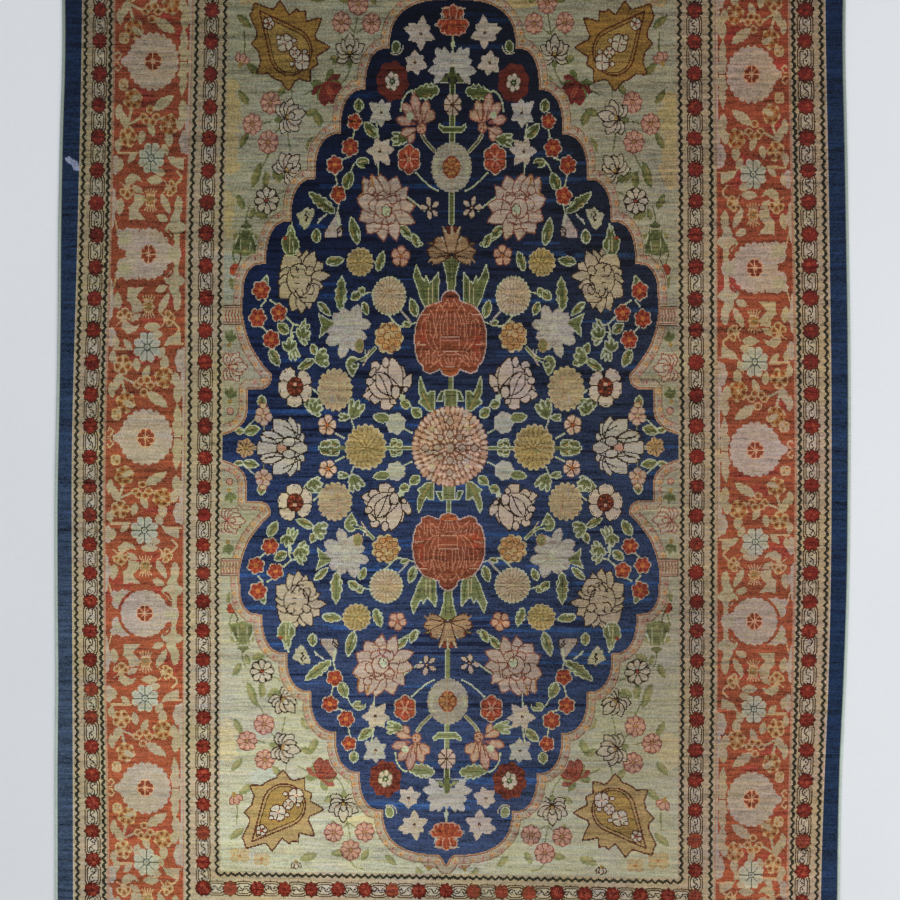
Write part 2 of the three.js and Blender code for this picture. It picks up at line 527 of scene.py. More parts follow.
# Steps of the medallion's edge, from its tip to its widest lobe. Each row is a notch, counted
# from the pattern's centre; the edge leaves it level and rounds down to the next.
MEDALLION_STEPS = [
    {"x": 7.5, "y": 404.0},
    {"x": 64.0, "y": 360.5},
    {"x": 88.0, "y": 323.0},
    {"x": 112.5, "y": 283.0},
    {"x": 137.5, "y": 242.5},
    {"x": 161.5, "y": 204.5},
    {"x": 186.0, "y": 166.0},
]
MEDALLION_LOBE = [(186, 166), (199, 163.5), (206.5, 153), (208.5, 136), (208, 117), (200.5, 94), (188, 76), (178.5, 66)]
MEDALLION_WAIST = [(178.5, 66), (180.5, 58), (187, 53.5), (203, 52.5), (203, 34), (206, 25), (214, 17), (229, 11)]


def medallion_edge():
    """A quarter of the medallion's outline, from the tip on the long axis to the side guard."""
    pts = [(0.0, 414.5), (3.0, 408.5)]
    for a, b in zip(MEDALLION_STEPS[:-1], MEDALLION_STEPS[1:]):
        t = np.radians(np.linspace(0, 90, 12))
        x = a["x"] + (b["x"] - a["x"]) * np.sin(t) ** 0.78
        y = b["y"] + (a["y"] - b["y"]) * np.cos(t) ** 0.78
        pts += list(zip(x, y))
    pts += [tuple(p) for p in smooth(MEDALLION_LOBE, 5)]
    pts += [tuple(p) for p in smooth(MEDALLION_WAIST[:3], 4)]
    pts += MEDALLION_WAIST[3:5]
    pts += [tuple(p) for p in smooth(MEDALLION_WAIST[4:], 4)]
    return np.array(pts)


def medallion_outline():
    q = medallion_edge()
    r = q[::-1] * (1, -1)
    right = np.vstack([q, r])
    left = right[::-1] * (-1, 1)
    return np.vstack([right, left])


def quarters(chart, rng, x, y, deg=0.0, shift=0.7, turn=2.5, size=0.03):
    """The four mirrored places of a motif, each a little off as hands and loom made it."""
    for mx in (-1, 1):
        for my in (-1, 1):
            jx, jy = rng.uniform(-shift, shift, 2)
            jd, js = rng.uniform(-turn, turn), 1 + rng.uniform(-size, size)
            yield Pen(chart, np.diag([mx, my, 1.0])).at(x + jx, y + jy, deg + jd, js)


def ends(chart, rng, y, shift=0.4):
    """The two places of a motif on the long axis."""
    for my in (-1, 1):
        yield Pen(chart, np.diag([1, my, 1.0])).at(rng.uniform(-shift, shift), y)


def sides(chart, rng, x, deg=-90.0, shift=0.4):
    """The two places of a motif on the short axis."""
    for mx in (-1, 1):
        yield Pen(chart, np.diag([mx, 1, 1.0])).at(x, rng.uniform(-shift, shift), deg)


def grow(mask, steps):
    """Distance in knots outside a mask, up to a number of steps, in eight-sided rings."""
    dist = np.where(mask, 0, 99).astype(np.int16)
    cur = mask.copy()
    for k in range(1, steps + 1):
        nxt = cur.copy()
        nxt[1:] |= cur[:-1]
        nxt[:-1] |= cur[1:]
        nxt[:, 1:] |= cur[:, :-1]
        nxt[:, :-1] |= cur[:, 1:]
        if k % 5 in (2, 4):
            nxt[1:, 1:] |= cur[:-1, :-1]
            nxt[1:, :-1] |= cur[:-1, 1:]
            nxt[:-1, 1:] |= cur[1:, :-1]
            nxt[:-1, :-1] |= cur[1:, 1:]
        dist[nxt & ~cur] = k
        cur = nxt
    return dist


# ---- medallion motifs ----
def chrysanthemum(pen):
    """The round centre of the rug: rings of small petals about a cross of paler cells."""
    r = np.random.default_rng(8)
    pen.fill(lobed(38.5, 44, 0.07), "chrysline")
    for n, r0, r1, w, turn in ((46, 30.0, 38.8, 2.2, 5), (38, 22.6, 31.4, 2.15, 0), (30, 16.4, 24.6, 2.0, 7), (20, 10.6, 17.6, 1.85, 0), (12, 5.4, 11.6, 1.7, 18)):
        for k in range(n):
            q = pen.at(0, 0, turn + 360 * k / n + r.uniform(-1.5, 1.5))
            tone = ("peach", "tanpink", "creamrose", "peach", "tanpink", "peachcream")[r.integers(0, 6)]
            a, b = r0 + r.uniform(-0.6, 0.8), r1 + r.uniform(-1.0, 0.4)
            q.fill(petal(a, b, w, 0.6, 0.1), tone)
            if r.uniform() < 0.55:
                q.fill(petal(a + 2.2, b - 0.8, w * 0.55, 0.6, 0.1), "peachlight")
    for k in range(8):
        q = pen.at(0, 0, 45 * k)
        if k % 2 == 0:
            q.shape(ellipse(3.4, 4.0, y=24.3), "chryscell", "chrysline")
            q.shape(ellipse(3.3, 4.2, y=12.6), "chryscell", "chrysline")
        else:
            q.shape(ellipse(3.2, 3.4, y=13.6), "chryscell", "chrysline")
            q.fill(ellipse(2.2, 2.4, y=25.0), "creamyel")
    pen.shape(ellipse(4.2, 4.6), "chryscell", "chrysline")
    pen.fill(ellipse(1.3, 3.8, x=-4.0), "pink")


URN = [(0, 38.5), (5, 37), (8.5, 33.5), (9.5, 28.5), (16, 26.5), (24, 24), (28.5, 19), (33, 11.5), (35.5, 3), (36, -7), (35, -17), (32, -26), (27.7, -29.5), (27, -34), (20.5, -36.5), (14, -34.5), (10, -32.5), (7, -37.5), (0, -39.5)]


def urn_lotus(pen):
    """The large red blossom on the long axis, with nested arches drawn in it."""
    half = np.array(URN, float)
    full = np.vstack([half, half[::-1][1:-1] * (-1, 1)])
    pen.shape(full, "urnred", "pinkivory", 1.0)
    pen.fill([(-30, -8), (-24, -8), (-24, 20), (-30, 8)], "rust")
    pen.fill([(30, 4), (24, 4), (22, -22), (30, -20)], "rust")
    thin = "urnline"
    for s in (-1, 1):
        pen.line([(s * 3.4, -2), (s * 3.4, 9), (s * 5, 14), (s * 4, 19)], thin)
        pen.line([(s * 9.5, -3), (s * 10.6, 8), (s * 9, 14), (s * 6.4, 20)], thin)
        pen.line([(s * 13.6, -4), (s * 15.6, 0), (s * 15.8, 10), (s * 12.8, 23)], thin)
        pen.line(smooth([(s * 19.5, -3), (s * 20.4, 4), (s * 20.8, 10), (s * 23.6, 11), (s * 24.4, 7), (s * 24.4, -4), (s * 20, -12), (s * 14, -17)], 4), thin)
        pen.line(smooth([(s * 16.4, -2), (s * 17, -8), (s * 12.6, -15)], 4), thin)
        pen.line([(s * 21, 17), (s * 31, 16.5)], "peach")
        pen.line([(s * 24, 23), (s * 16, 27)], thin)
        pen.line([(s * 12, 28), (s * 7.6, 21)], thin)
        pen.line([(s * 25.5, -11), (s * 33.4, -9.5)], "peach")
        pen.line(smooth([(s * 10, -17), (s * 17, -17.6), (s * 18, -28), (s * 11.6, -25), (s * 8, -31)], 4), thin)
        pen.line(smooth([(s * 24.6, -17), (s * 24.6, -29)], 4), thin)
        pen.line([(s * 21, -18), (s * 21.5, -27)], thin)
        pen.line(smooth([(s * 28, -2), (s * 29.5, 4), (s * 27, 12), (s * 22, 14)], 3), thin)
        pen.line([(s * 6.6, -2), (s * 7.2, 8), (s * 5.4, 13)], thin)
        pen.line([(s * 17.5, 8), (s * 17.6, 16), (s * 20, 20)], thin)
        pen.line([(s * 12, -18), (s * 14, -26), (s * 20, -31)], thin)
        pen.line([(s * 28.5, -14), (s * 30, -22)], thin)
        pen.line([(s * 5, -17.6), (s * 12, -21)], thin)
        pen.line([(s * 8, 23), (s * 3, 30), (s * 1, 24)], thin)
    for x in (-3.4, 3.4):
        pen.line([(x, 4), (x, 19)], thin)
    for x in (-13.4, 13.4):
        pen.line([(x, -5), (x * 1.06, 6), (x * 0.8, 16)], thin)
    for s in (-1, 1):
        for x, y in ((9, -22), (15, -20), (21, -16), (26, -23), (31, -8), (24, 14), (12, 24)):
            pen.line([(s * x, y), (s * (x + 2.6), y - 3.6)], thin)
    pen.line([(0, 9), (0, 17)], thin)
    pen.line([(-9, -3.4), (9, -3.4)], "peach")
    pen.line([(-9, -7), (8, -7)], thin)
    pen.line([(-7, -16.2), (8, -16.2)], "peach")
    pen.line([(-10, -4), (-10, -15)], thin)
    pen.line([(9, -4), (9, -15)], thin)
    pen.line([(-4, -20), (8, -20)], thin)
    pen.line([(-4, -31), (4, -31)], "peach")
    for x in (-6, -2, 2, 6):
        pen.line([(x, -22), (x * 0.5, -29)], thin)
    pen.fill([(-9, -32), (9, -32), (5.5, -37.4), (0, -39), (-5.5, -37.4)], "orange2")
    pen.line([(-4, -34), (3, -36)], "urnred")


def fan_palmette(pen):
    """The camel blossom: notched petals opened from a green calyx."""
    rows = [
        # base, tip, half width
        (-1, -2.5, -21, -5.5, 4.6), (1, -2.5, 21, -5.5, 4.6),
        (-2, -1, -24.5, 3.2, 5.2), (2, -1, 24.5, 3.2, 5.2),
        (-2, -0.5, -16.5, 14.5, 5.6), (2, -0.5, 16.5, 14.5, 5.6),
    ]
    for s in (-1, 1):
        pen.shape([(s * 14, 8), (s * 20, 10.5), (s * 24.5, 9.6), (s * 19, 8)], "olive", "brown")
    for x0, y0, x1, y1, w in rows:
        q, far = reach(pen, x0, y0, x1, y1)
        q.shape(petal(0, far, w, 0.7, 0.35), "camel", "brown")
    for s in (-1, 1):
        pen.line([(s * 24, 1.8), (s * 18, 2.6)], "brown")
        pen.line([(s * 23, -7), (s * 19, -3)], "camel", 1.6)
        pen.line([(s * 18.4, -9.5), (s * 17, -5)], "camel")
        pen.fill([(s * 16, 13.4), (s * 17.6, 12.6), (s * 17.2, 9), (s * 15.6, 10)], "maroon")
        pen.line([(s * 10, 15.5), (s * 7, 11)], "cream")
        pen.line([(s * 9, 9), (s * 5, 2)], "tan")
    pen.shape([(-3, 0), (-7, 14), (-9.5, 24), (-5.4, 22.4), (-1, 25), (1, 25), (5, 22.6), (9.2, 24), (7, 14), (3, 0)], "camel", "brown")
    pen.fill([(-6, 25), (-4.4, 17.5), (-1.6, 18.5), (-1.0, 24.6)], "maroon")
    pen.fill([(6, 25), (4.6, 19), (2.4, 19.5), (1.2, 24.6)], "maroon")
    pen.line([(-8.4, 24.5), (-5.6, 19)], "cream")
    pen.line([(8.4, 24.5), (5.6, 19)], "cream")
    pen.line([(0, 16), (0, 25.4)], "cream")
    for x in (-2.4, 0, 2.4):
        pen.line([(x * 0.6, 3), (x, 13)], "tan")
    for s in (-1, 1):
        pen.line([(s * 12, -2.4), (s * 3, -3.4)], "brown")


def cream_rosette(pen):
    """A wide pale disc with a fringed rim and an orange ring flower at its heart."""
    pen.fill(lobed(20.6, 30, 0.05, 23.0), "rosettecream")
    pen.line([(0, -22), (0, 22)], "camelpale")
    pen.line([(-20, 0.5), (20, -0.5)], "camelpale")
    pen.fill([(13, 8), (15, 2), (12, -6), (17, -8), (19, 4)], "creamceladon")
    pen.fill([(-13, 12), (-15, 2), (-12, -6), (-17, -8), (-18, 6)], "creamceladon")
    for k in range(8):
        q, far = reach(pen, 0, 0, 9.4 * math.sin(math.radians(45 * k + 22)), 10.4 * math.cos(math.radians(45 * k + 22)))
        q.fill(petal(1.0, far, 3.7, 0.7, 0.0), "rustbrown")
        q.fill(petal(3.0, far - 1.4, 1.7, 0.6, 0.0), "ochre")
    for k in range(4):
        pen.at(0, 0, 90 * k).line([(0, 1), (0, 10)], "ochre")
    pen.dot(0, 0, 1.4, "orangepale")


def cross_flower(pen, r):
    """A small flower of eight bars, taller than wide."""
    for k in range(8):
        a = math.radians(22.5 + 45 * k)
        q, far = reach(pen, 0, 0, -0.94 * r * math.sin(a), r * 1.06 * math.cos(a))
        q.fill(petal(1.2, far, 2.5, 0.74, 0.0), "creamrose")
    pen.line([(-r * 0.95, 0), (r * 0.95, 0)], "guardline")
    pen.line([(0, -r), (0, r)], "guardline")
    for s in (-1, 1):
        pen.line([(-r * 0.66, s * r * 0.7), (0, 0), (r * 0.66, s * r * 0.7)], "brown")


def cream_palmette(pen):
    """The pale lobed blossom near the tip; local 0 is its widest line."""
    pen.fill([(-15, -6), (-13, 4), (-9, 11), (0, 12.5), (9, 11), (13, 4), (15, -6)], "palmcream")
    for s in (-1, 1):
        for x0, y0, x1, y1, w in ((5, 4, 8.5, 17, 3.6), (8, 4, 16.5, 16.5, 4.0), (6, 2, 19.5, 5.5, 3.8), (4, -2, 24, -4, 4.6), (8, -4, 17.8, -15, 3.6)):
            q, far = reach(pen, s * x0, y0, s * x1, y1)
            q.fill(petal(-3, far + 0.8, w, 0.6, 0.25), "palmcream")
        pen.line([(s * 15.5, 13.5), (s * 10, 6)], "mist")
        pen.line([(s * 20, -3.4), (s * 10, 0)], "mist")
        pen.line([(s * 12, -14.6), (s * 4.6, -14.6)], "palmcream")
    pen.fill(petal(4, 15.5, 2.6, 0.5, 0.6), "palmcream")
    pen.fill([(-12.5, -13.5), (-5, -13.5), (-4.4, -10), (4.4, -10), (5, -13.5), (12.5, -13.5), (8.6, -9.4), (5, -7.4), (3, -5), (1.6, 0.4), (-1.6, 0.4), (-3, -5), (-5, -7.4), (-8.6, -9.4)], "green2")
    pen.fill([(-3.4, -16), (3.4, -16), (2.2, -1), (-2.2, -1)], "green")


def tulip(pen):
    """The red blossom in the medallion's tip; it opens away from the centre."""
    parts = [(-4, 2, -8, 13.5, 4.0), (4, 2, 8, 13.5, 4.0), (0, 0, 0, 16, 4.0)]
    low = [(2, 0, 15.8, -2.6, 4.6), (-2, 0, -15.8, -2.6, 4.6), (2, 0, 12.5, -9, 4.2), (-2, 0, -12.5, -9, 4.2), (1, 0, 6.4, -12, 4.2), (-1, 0, -6.4, -12, 4.2), (0, 2, 0, -12.4, 3.8)]
    for x0, y0, x1, y1, w in parts + low:
        q, far = reach(pen, x0, y0, x1, y1)
        q.shape(petal(0, far, w, 0.64, 0.0), "rust", "rosepale")
        q.line([(0, far * 0.3), (0, far * 0.78)], "darkred")
    pen.fill(ellipse(11, 6.5, y=-3.4), "rust")
    for s in (-1, 1):
        pen.line([(s * 4.4, 12.6), (s * 12.0, 12.6)], "cream")
        for x0, y0, x1, y1, dye in ((3.4, -8, 2.0, 1, "orange2"), (7, -7, 5.0, 1, "darkred"), (10.5, -5, 8, 0, "orange2")):
            pen.line([(s * x0, y0), (s * x1, y1)], dye)
        pen.line([(s * 6, 2.5), (s * 7.6, 9.5)], "orange2")
    pen.line([(0, 3), (0, 12.5)], "rust2", 1.6)
    pen.line([(1, -3.4), (10, -3.8)], "orange2")
    pen.dot(-4, -5, 1.6, "orange2", 2.2)


def pink_palmette(pen):
    """A loose pink blossom: long petals opened upward from a small orange heart."""
    rows = [
        (-4, -8, -8.5, -12, 2.6), (2, -8, 6.5, -21, 3.4), (-2, -8, 15, -12.5, 3.8), (0, -4, 19.5, 0.5, 4.2),
        (-2, -2, 13.5, 14, 4.6), (-6, -4, -18, 7.5, 5.0), (-4, -4, -11.5, 17, 4.4), (-3, -4, 2.5, 24, 4.6),
    ]
    for k, (x0, y0, x1, y1, w) in enumerate(rows):
        q, far = reach(pen, x0, y0, x1, y1)
        q.shape(petal(0, far, w, 0.66, 0.4), "pink" if k in (3, 4, 7) else "tanpink", "pinkbrown")
        q.line([(0, far * 0.3), (0, far * 0.84)], "peachcream")
    for x0, y0, x1, y1 in ((-3, -6, 1, 10), (-6, -4, -5, 12), (-8, -2, -11, 8)):
        pen.line([(x0, y0), (x1, y1)], "pinkbrown", 1.3)
        pen.line([(x0 - 1.6, y0 + 2), (x1 - 1.6, y1)], "peach")
    pen.fill(ellipse(2.6, 1.8, x=3.5, y=-3.4), "pinkdeep")
    pen.fill(ellipse(3.6, 3.4, x=6, y=3), "celadon")
    pen.shape(ellipse(4.6, 4.4, x=-5.5, y=-8), "peach", "pinkbrown")
    for x, y in ((-4.4, -6), (-7, -9), (-4, -10)):
        pen.dot(x, y, 1.0, "rustbrown")


def star_points(pen, tips, fill, heart):
    """A star of uneven points, as the weaver counted it."""
    for x, y in tips:
        q, far = reach(pen, 0, 0, x, y)
        q.fill(petal(-3, far + 0.6, 5.0, 0.42, 0.6), fill)
    pen.dot(0, 0, 6.0, fill)
    pen.dot(0, 0, 1.6, heart)
    pen.line([(0, 1), (0.5, 4)], "tan")


def reach(pen, x0, y0, x1, y1):
    """A frame at one spot whose +y runs to another, and how far that is."""
    dx, dy = x1 - x0, y1 - y0
    return pen.at(x0, y0, math.degrees(math.atan2(-dx, dy))), math.hypot(dx, dy)


def petals(pen, rows, fill, edge, belly=0.64, point=0.5, swell=1.0):
    """Outlined petals, each given as base, tip and half width."""
    for x0, y0, x1, y1, w in rows:
        q, far = reach(pen, x0, y0, x1, y1)
        q.shape(petal(-far * 0.25 * (swell > 1), far, w * swell, belly, point), fill, edge)


PEACH_BLOOM = [
    # the outer petals, from the back to the front
    (-6, 8, -12.5, 28, 6.0), (2, 8, 4.5, 30.5, 6.2), (10, 6, 21.5, 27.5, 5.0), (6, 6, 13, 30, 5.0),
    (-8, 0, -23.5, 19, 4.6), (-10, -2, -31, 1.5, 5.2), (-10, -6, -31, -14, 4.4),
    (-6, -8, -12.5, -30, 4.6), (4, -8, 0.5, -30.5, 4.8), (6, -8, 17, -23.5, 5.6),
    (8, -2, 25.5, -11.5, 5.6), (8, 2, 28, 8.5, 5.8),
]


def peach_bloom(pen):
    """The large peach blossom: petals on every side and smaller ones rolled up within."""
    pen.fill(lobed(22, 9, 0.1, 21), "peachcream")
    petals(pen, PEACH_BLOOM, "peachcream", "pinkbrown", 0.52, 0.85, 1.45)
    petals(pen, [(2, 2, 1, 15, 5.5), (-2, 2, -12, 12, 5.0), (4, 0, 16, 4, 5.4), (0, -4, 10, -13, 5.2), (-2, -4, -10, -14, 5.2)], "peachcream", "pinkbrown", 0.6, 0.2)
    pen.shape(ellipse(8.5, 9.0, x=1, y=-1), "peachcream", "pinkbrown")
    pen.shape(ellipse(4.8, 5.6, x=-2, y=-3), "celadon", "pinkbrown")
    pen.loop(ellipse(2.2, 2.4, x=-4, y=-6), "pinkbrown")
    pen.shape(ellipse(4.0, 4.2, x=13, y=15.5), "peachcream", "pinkbrown")
    pen.loop(ellipse(2.2, 2.2, x=9.5, y=11.5), "pinkbrown")
    pen.line([(8, 10.6), (3, 11.2), (-1, 9)], "pinkbrown", 1.4)
    pen.line([(-3, 9.5), (-9, 11), (-13, 9)], "pinkbrown", 1.4)
    pen.fill([(12, 28), (14.5, 28), (12.5, 19), (10.5, 20)], "ochre")
    pen.line([(22, 24), (21, 13), (25, 11)], "ochre")
    pen.line([(4, -14.5), (-4, -16), (-8, -13)], "pinkbrown", 1.4)
    pen.line([(9, -19.5), (2, -19), (-5, -21)], "pinkbrown")
    pen.line([(-15, 12), (-16, 2), (-18, -6)], "pinkbrown")


GOLD_BLOOM = [
    (-10, 6, -24, 15.5, 5.0), (-12, 4, -31, 3.5, 3.4), (-10, -2, -24, -7, 3.2), (2, 8, 1, 29, 4.6), (-2, 8, -8, 28, 4.4),
    (-6, 8, -15.5, 26.5, 4.6), (4, 6, 15.5, 24.5, 8.2), (8, 4, 21.5, 7.5, 5.4), (8, 0, 23, -1, 4.8), (8, -4, 21.5, -15, 6.0),
    (0, -8, 9.5, -28, 5.4), (-2, -8, -0.5, -30.5, 4.6), (-6, -8, -9, -26.5, 3.8), (-6, -6, -14.5, -20, 8.0),
]


def gold_bloom(pen):
    """The large straw-coloured blossom with black drawing."""
    pen.fill(lobed(18.5, 9, 0.1, 21), "straw")
    petals(pen, GOLD_BLOOM, "straw", "black", 0.52, 0.85, 1.4)
    pen.shape(ellipse(12.5, 14.5, x=1, y=1), "straw", "black")
    petals(pen, [(0, 0, 8.5, 13.5, 4.4), (-6, 4, -13, 12, 4.0), (0, -6, 3, -16, 4.4)], "straw", "black", 0.6, 0.1)
    pen.fill(ellipse(7.5, 9.5, x=-1.5, y=1), "straw")
    pen.loop(ellipse(3.8, 4.4, x=-10, y=-8.5), "black", 1.3)
    pen.line([(-7, 4), (-11.5, 4), (-12, -1), (-8, -3), (-6.5, -8)], "black", 1.3)
    pen.line([(5, 3.5), (1.5, 3)], "black", 1.3)
    pen.line([(3, 11), (3, 7.5)], "black", 1.3)
    pen.line([(-4.5, 9), (-6.5, 5.5)], "black", 1.3)
    pen.line([(4.5, -2), (1, -2.6)], "black", 1.3)
    pen.line([(6, -7), (2, -13.5), (-2, -16), (-6, -15)], "black", 1.3)


LILY = [
    (6, -8, 26, -9.5, 4.0), (8, -12, 18.5, -11, 3.6), (-4, -12, 7.5, -21, 4.6), (-6, -13, -3.5, -17.5, 2.4),
    (-12, -5, -14, 18, 3.4), (-15, -5, -23, 10.5, 3.2), (-15, -5, -19.5, -2, 1.8),
    (-3, -9, 21, 2.5, 5.4),
]


def lily(pen):
    """The pale blossom beside the centre: long petals from a base at its lower inner side."""
    pen.fill([(-4, 22), (3, 20), (12, 16), (17, 8), (20, 0), (24, -8), (16, -12), (4, -14), (-6, -14), (-14, -10), (-17, -2), (-18, 4), (-11, 6)], "lilypink")
    petals(pen, LILY, "lilypink", "black", 0.55, 0.85, 1.45)
    petals(pen, [(-12, -8, -3, 25.5, 7.4), (-3, -10, 11, 12, 7.4)], "lilypink", "black", 0.54, 0.6)
    for x, y, rx, ry, deg in ((2.5, 20.5, 3.6, 4.8, 0), (12.5, 17.5, 4.8, 4.0, 0), (15.5, 11.5, 2.6, 5.0, 38), (18.5, 3.8, 4.0, 3.6, 0)):
        pen.at(x, y, deg).shape(ellipse(rx, ry), "lilypink", "black")
    pen.shape(ellipse(4.4, 6.0, x=-7.5, y=-6.5), "lilypink", "black")
    pen.line([(-8, -1), (-3, -0.6), (-3, -9), (-6, -12)], "black", 1.3)
    pen.line([(9.5, 10), (5, 4), (1, -6), (-1, -11)], "black", 1.2)
    pen.line([(4, 12), (-4, 5.5), (-12, -2), (-14, -10)], "black", 1.2)
    pen.fill([(-12, -8), (-17, -9), (-17, -13), (-13, -15), (-11, -12)], "celadon")


def side_bloom(pen, rng):
    """The pale blossom on the short axis; it opens along +y from a stalk at its back."""
    pen.fill([(-5, -12), (5, -12), (15, 2), (21, 12), (12, 26), (-12, 26), (-21, 12), (-15, 2)], "palmcream")
    for s in (1, -1):
        q = pen.at(0, 0, 0, s, 1.0)
        rows = [
            (2, -2, 13.0, -15.5, 4.6), (4, -2, 23.5, -10, 4.6), (6, -4, 29, 0, 5.4),
            (6, -4, 26.5, 17.5, 8.0), (3, 2, 11, 30.5, 7.0), (10, 10, 14, 28.5, 3.4),
        ]
        petals(q, rows, "palmcream" if s > 0 else "mist", "black", 0.6, 0.8, 1.1)
        q.line([(9, 22), (12, 26)], "gold2")
    pen.shape([(-2.6, -18), (2.6, -18), (7, -10), (10, -3), (10, 3), (5, 10), (-5, 10), (-10, 3), (-10, -3), (-7, -10)], "palmcream", "black")
    pen.shape([(-3.5, 12), (-6.5, 31), (-4, 33.4), (5, 33.2), (7, 31), (3.5, 12)], "palmcream", "black")
    for s in (-1, 1):
        pen.line([(s * 3, 12), (s * 9, 17), (s * 10, 24)], "black", 1.2)
        pen.loop(ellipse(4.6, 6.6, x=s * 5.8, y=1), "black", 1.2)
        pen.line([(s * 3, -4), (s * 6, -10), (s * 6, -14)], "black", 1.2)
        pen.line([(s * 12, -10), (s * 16, -2), (s * 20, 6)], "black", 1.2)
    pen.dot(0, 1.5, 2.4, "black")
    pen.fill([(-2, 4), (2, 4), (4, 12), (-4, 12)], "pink")
    pen.line([(-6, 11), (-2, 12.6), (2, 12.6), (6, 11)], "black", 1.2)


def open_palmette(pen, r, fill, edge, petals=9, spread=112, fill2=None):
    """A side-view blossom whose notched petals open from its base at the origin."""
    half = (petals - 1) / 2
    for k in sorted(range(petals), key=lambda j: -abs(j - half)):
        a = (half - k) / half * spread
        far = r * (1 - 0.24 * (abs(k - half) / half) ** 1.4)
        q = pen.at(0, 0, a)
        w = r * 0.155 + 1.2
        q.shape(petal(0, far, w, 0.68, 0.25), fill2 if fill2 and k % 2 else fill, edge)
        q.line([(0, far * 0.25), (0, far * 0.62)], edge)
        q.dot(w * 0.55, far * 0.93, w * 0.34, fill)
        q.dot(-w * 0.55, far * 0.93, w * 0.34, fill)
    pen.shape(petal(-2, r * 0.42, r * 0.16, 0.6, 0.2), fill, edge)
    for s in (-1, 1):
        pen.at(0, 0, s * 66).shape(petal(0, r * 0.4, r * 0.12, 0.6, 0.3), fill2 or fill, edge)


def mist_lotus(pen):
    """A pale blossom with a broad body and blunt hooked tips, drawn only in near tones."""
    tips = [
        (-6, 2, -9.5, 22.5, 5.0), (-8, 4, -23, 5.6, 4.2), (4, -6, 21, -12.5, 4.8), (0, -8, 6, -26, 4.2), (8, 0, 20, -3, 3.8),
        (2, 4, 4.5, 19, 4.8), (6, 4, 14, 14, 4.6), (-6, -4, -19, -7, 4.2), (-4, -6, -9, -19, 4.2),
    ]
    pen.fill([(11, 13), (0, 17), (-6, 12), (-14, 12), (-14, 2), (-12, -10), (-4, -17), (6, -15), (13, -11), (15, -2), (14, 6)], "mist")
    for x0, y0, x1, y1, w in tips:
        q, far = reach(pen, x0, y0, x1, y1)
        q.shape(petal(-4, far, w * 1.1, 0.62, 0.12), "mist", "lilac")
        q.line([(0.4, far * 0.45), (0.4, far * 0.9)], "rosegrey")
    pen.shape(ellipse(6.5, 7.5, y=1), "mist", "lilac")
    for x0, y0, x1, y1 in ((-3, 1, 2, 5), (-2, -2, 3, 0), (4, 8, 9, 12), (-9, 6, -15, 5), (6, -7, 14, -10)):
        pen.line([(x0, y0), (x1, y1)], "celadon")
    pen.fill([(4, -10), (-6, -12), (-2, -15), (3, -14)], "rosegrey")
    pen.shape(ellipse(4.4, 6.0, x=-12.5, y=-14.5), "olive", "tan")


def white_bloom(pen):
    """Five broad pale petals about a dark brown disc."""
    for a, r0, r1, w in ((-38, 4, 18.5, 8.6), (52, 4, 17.0, 8.4), (118, 4, 17.5, 8.2), (182, 4, 18.0, 8.0), (258, 4, 16.5, 8.4)):
        q = pen.at(0, 0, a)
        q.shape([(-w * 0.5, r0), (-w, r1 * 0.62), (-w * 0.86, r1 * 0.93), (-w * 0.3, r1), (0, r1 * 0.93), (w * 0.4, r1), (w * 0.9, r1 * 0.9), (w, r1 * 0.62), (w * 0.5, r0)], "ivorycream", "black")
        q.line([(w * 0.3, r1 * 0.98), (-w * 0.3, r1 * 0.98)], "ivorycream")
    pen.fill(ellipse(8.4, 9.2), "darkbrown")
    for k in range(6):
        pen.at(0, 0, 60 * k + 10).line([(0, 3), (0, 7)], "rust")
    for x, y in ((-3, 6), (4, -5), (4.6, 3.4), (-4.6, -4)):
        pen.dot(x, y, 1.2, "rust2")
    pen.fill([(-1.6, 1), (2, 1), (2, 4), (-1.6, 4)], "peach")
    pen.dot(0, -1.2, 1.5, "black")


def dark_rosette(pen):
    pen.fill(lobed(16.6, 8, 0.15, 18.4, turn=12), "maroon")
    for k in range(8):
        q, far = reach(pen, 0, 0, 15 * math.sin(math.radians(45 * k + 12)), 16.6 * math.cos(math.radians(45 * k + 12)))
        q.fill(petal(5, far, 3.8, 0.66, 0.0), "darkrust")
        q.line([(0, 8), (0, far * 0.86)], "maroon")
    pen.fill(ellipse(7.0, 8.2), "deepgreen")
    for k in range(6):
        a = math.radians(60 * k + 15)
        pen.fill(ellipse(2.3, 2.8, x=5.0 * math.sin(a), y=5.6 * math.cos(a)), "ivorycream")
    pen.dot(0, 0, 1.0, "celadon")


def trefoil(pen):
    """A lobed cluster in warm tones: small rings with orange spots inside a pale rim."""
    r = np.random.default_rng(31)
    pen.fill(lobed(14.8, 9, 0.17, 15.0, turn=20), "creamyel")
    pen.fill(lobed(13.2, 9, 0.17, 13.4, turn=20), "ochrepale")
    spots = [(7.0, 6.0, 3.6), (7.6, -2.0, 3.6), (3.4, -7.6, 3.2), (-3.4, -9.6, 3.2), (-8.8, -4.6, 3.2), (-9.4, 3.0, 3.4), (-4.4, 8.8, 3.6), (2.4, 9.6, 3.2), (1.6, 1.4, 3.6), (-3.4, -2.6, 3.4)]
    for x, y, size in spots:
        pen.shape(ellipse(size, size * 0.9, x=x, y=y), "camelpale" if x < 0 else "ochrepale", "amberline")
        if r.uniform() < 0.75:
            pen.dot(x + r.uniform(-0.5, 0.5), y, size * 0.55, "amber" if r.uniform() < 0.6 else "orangepale", size * 0.5)
        else:
            pen.line([(x - 1.6, y + 0.6), (x + 1.6, y + 0.6)], "creamyel")
    pen.line([(0, 4.6), (-3, 3.4), (-7, 5.6)], "creamyel")


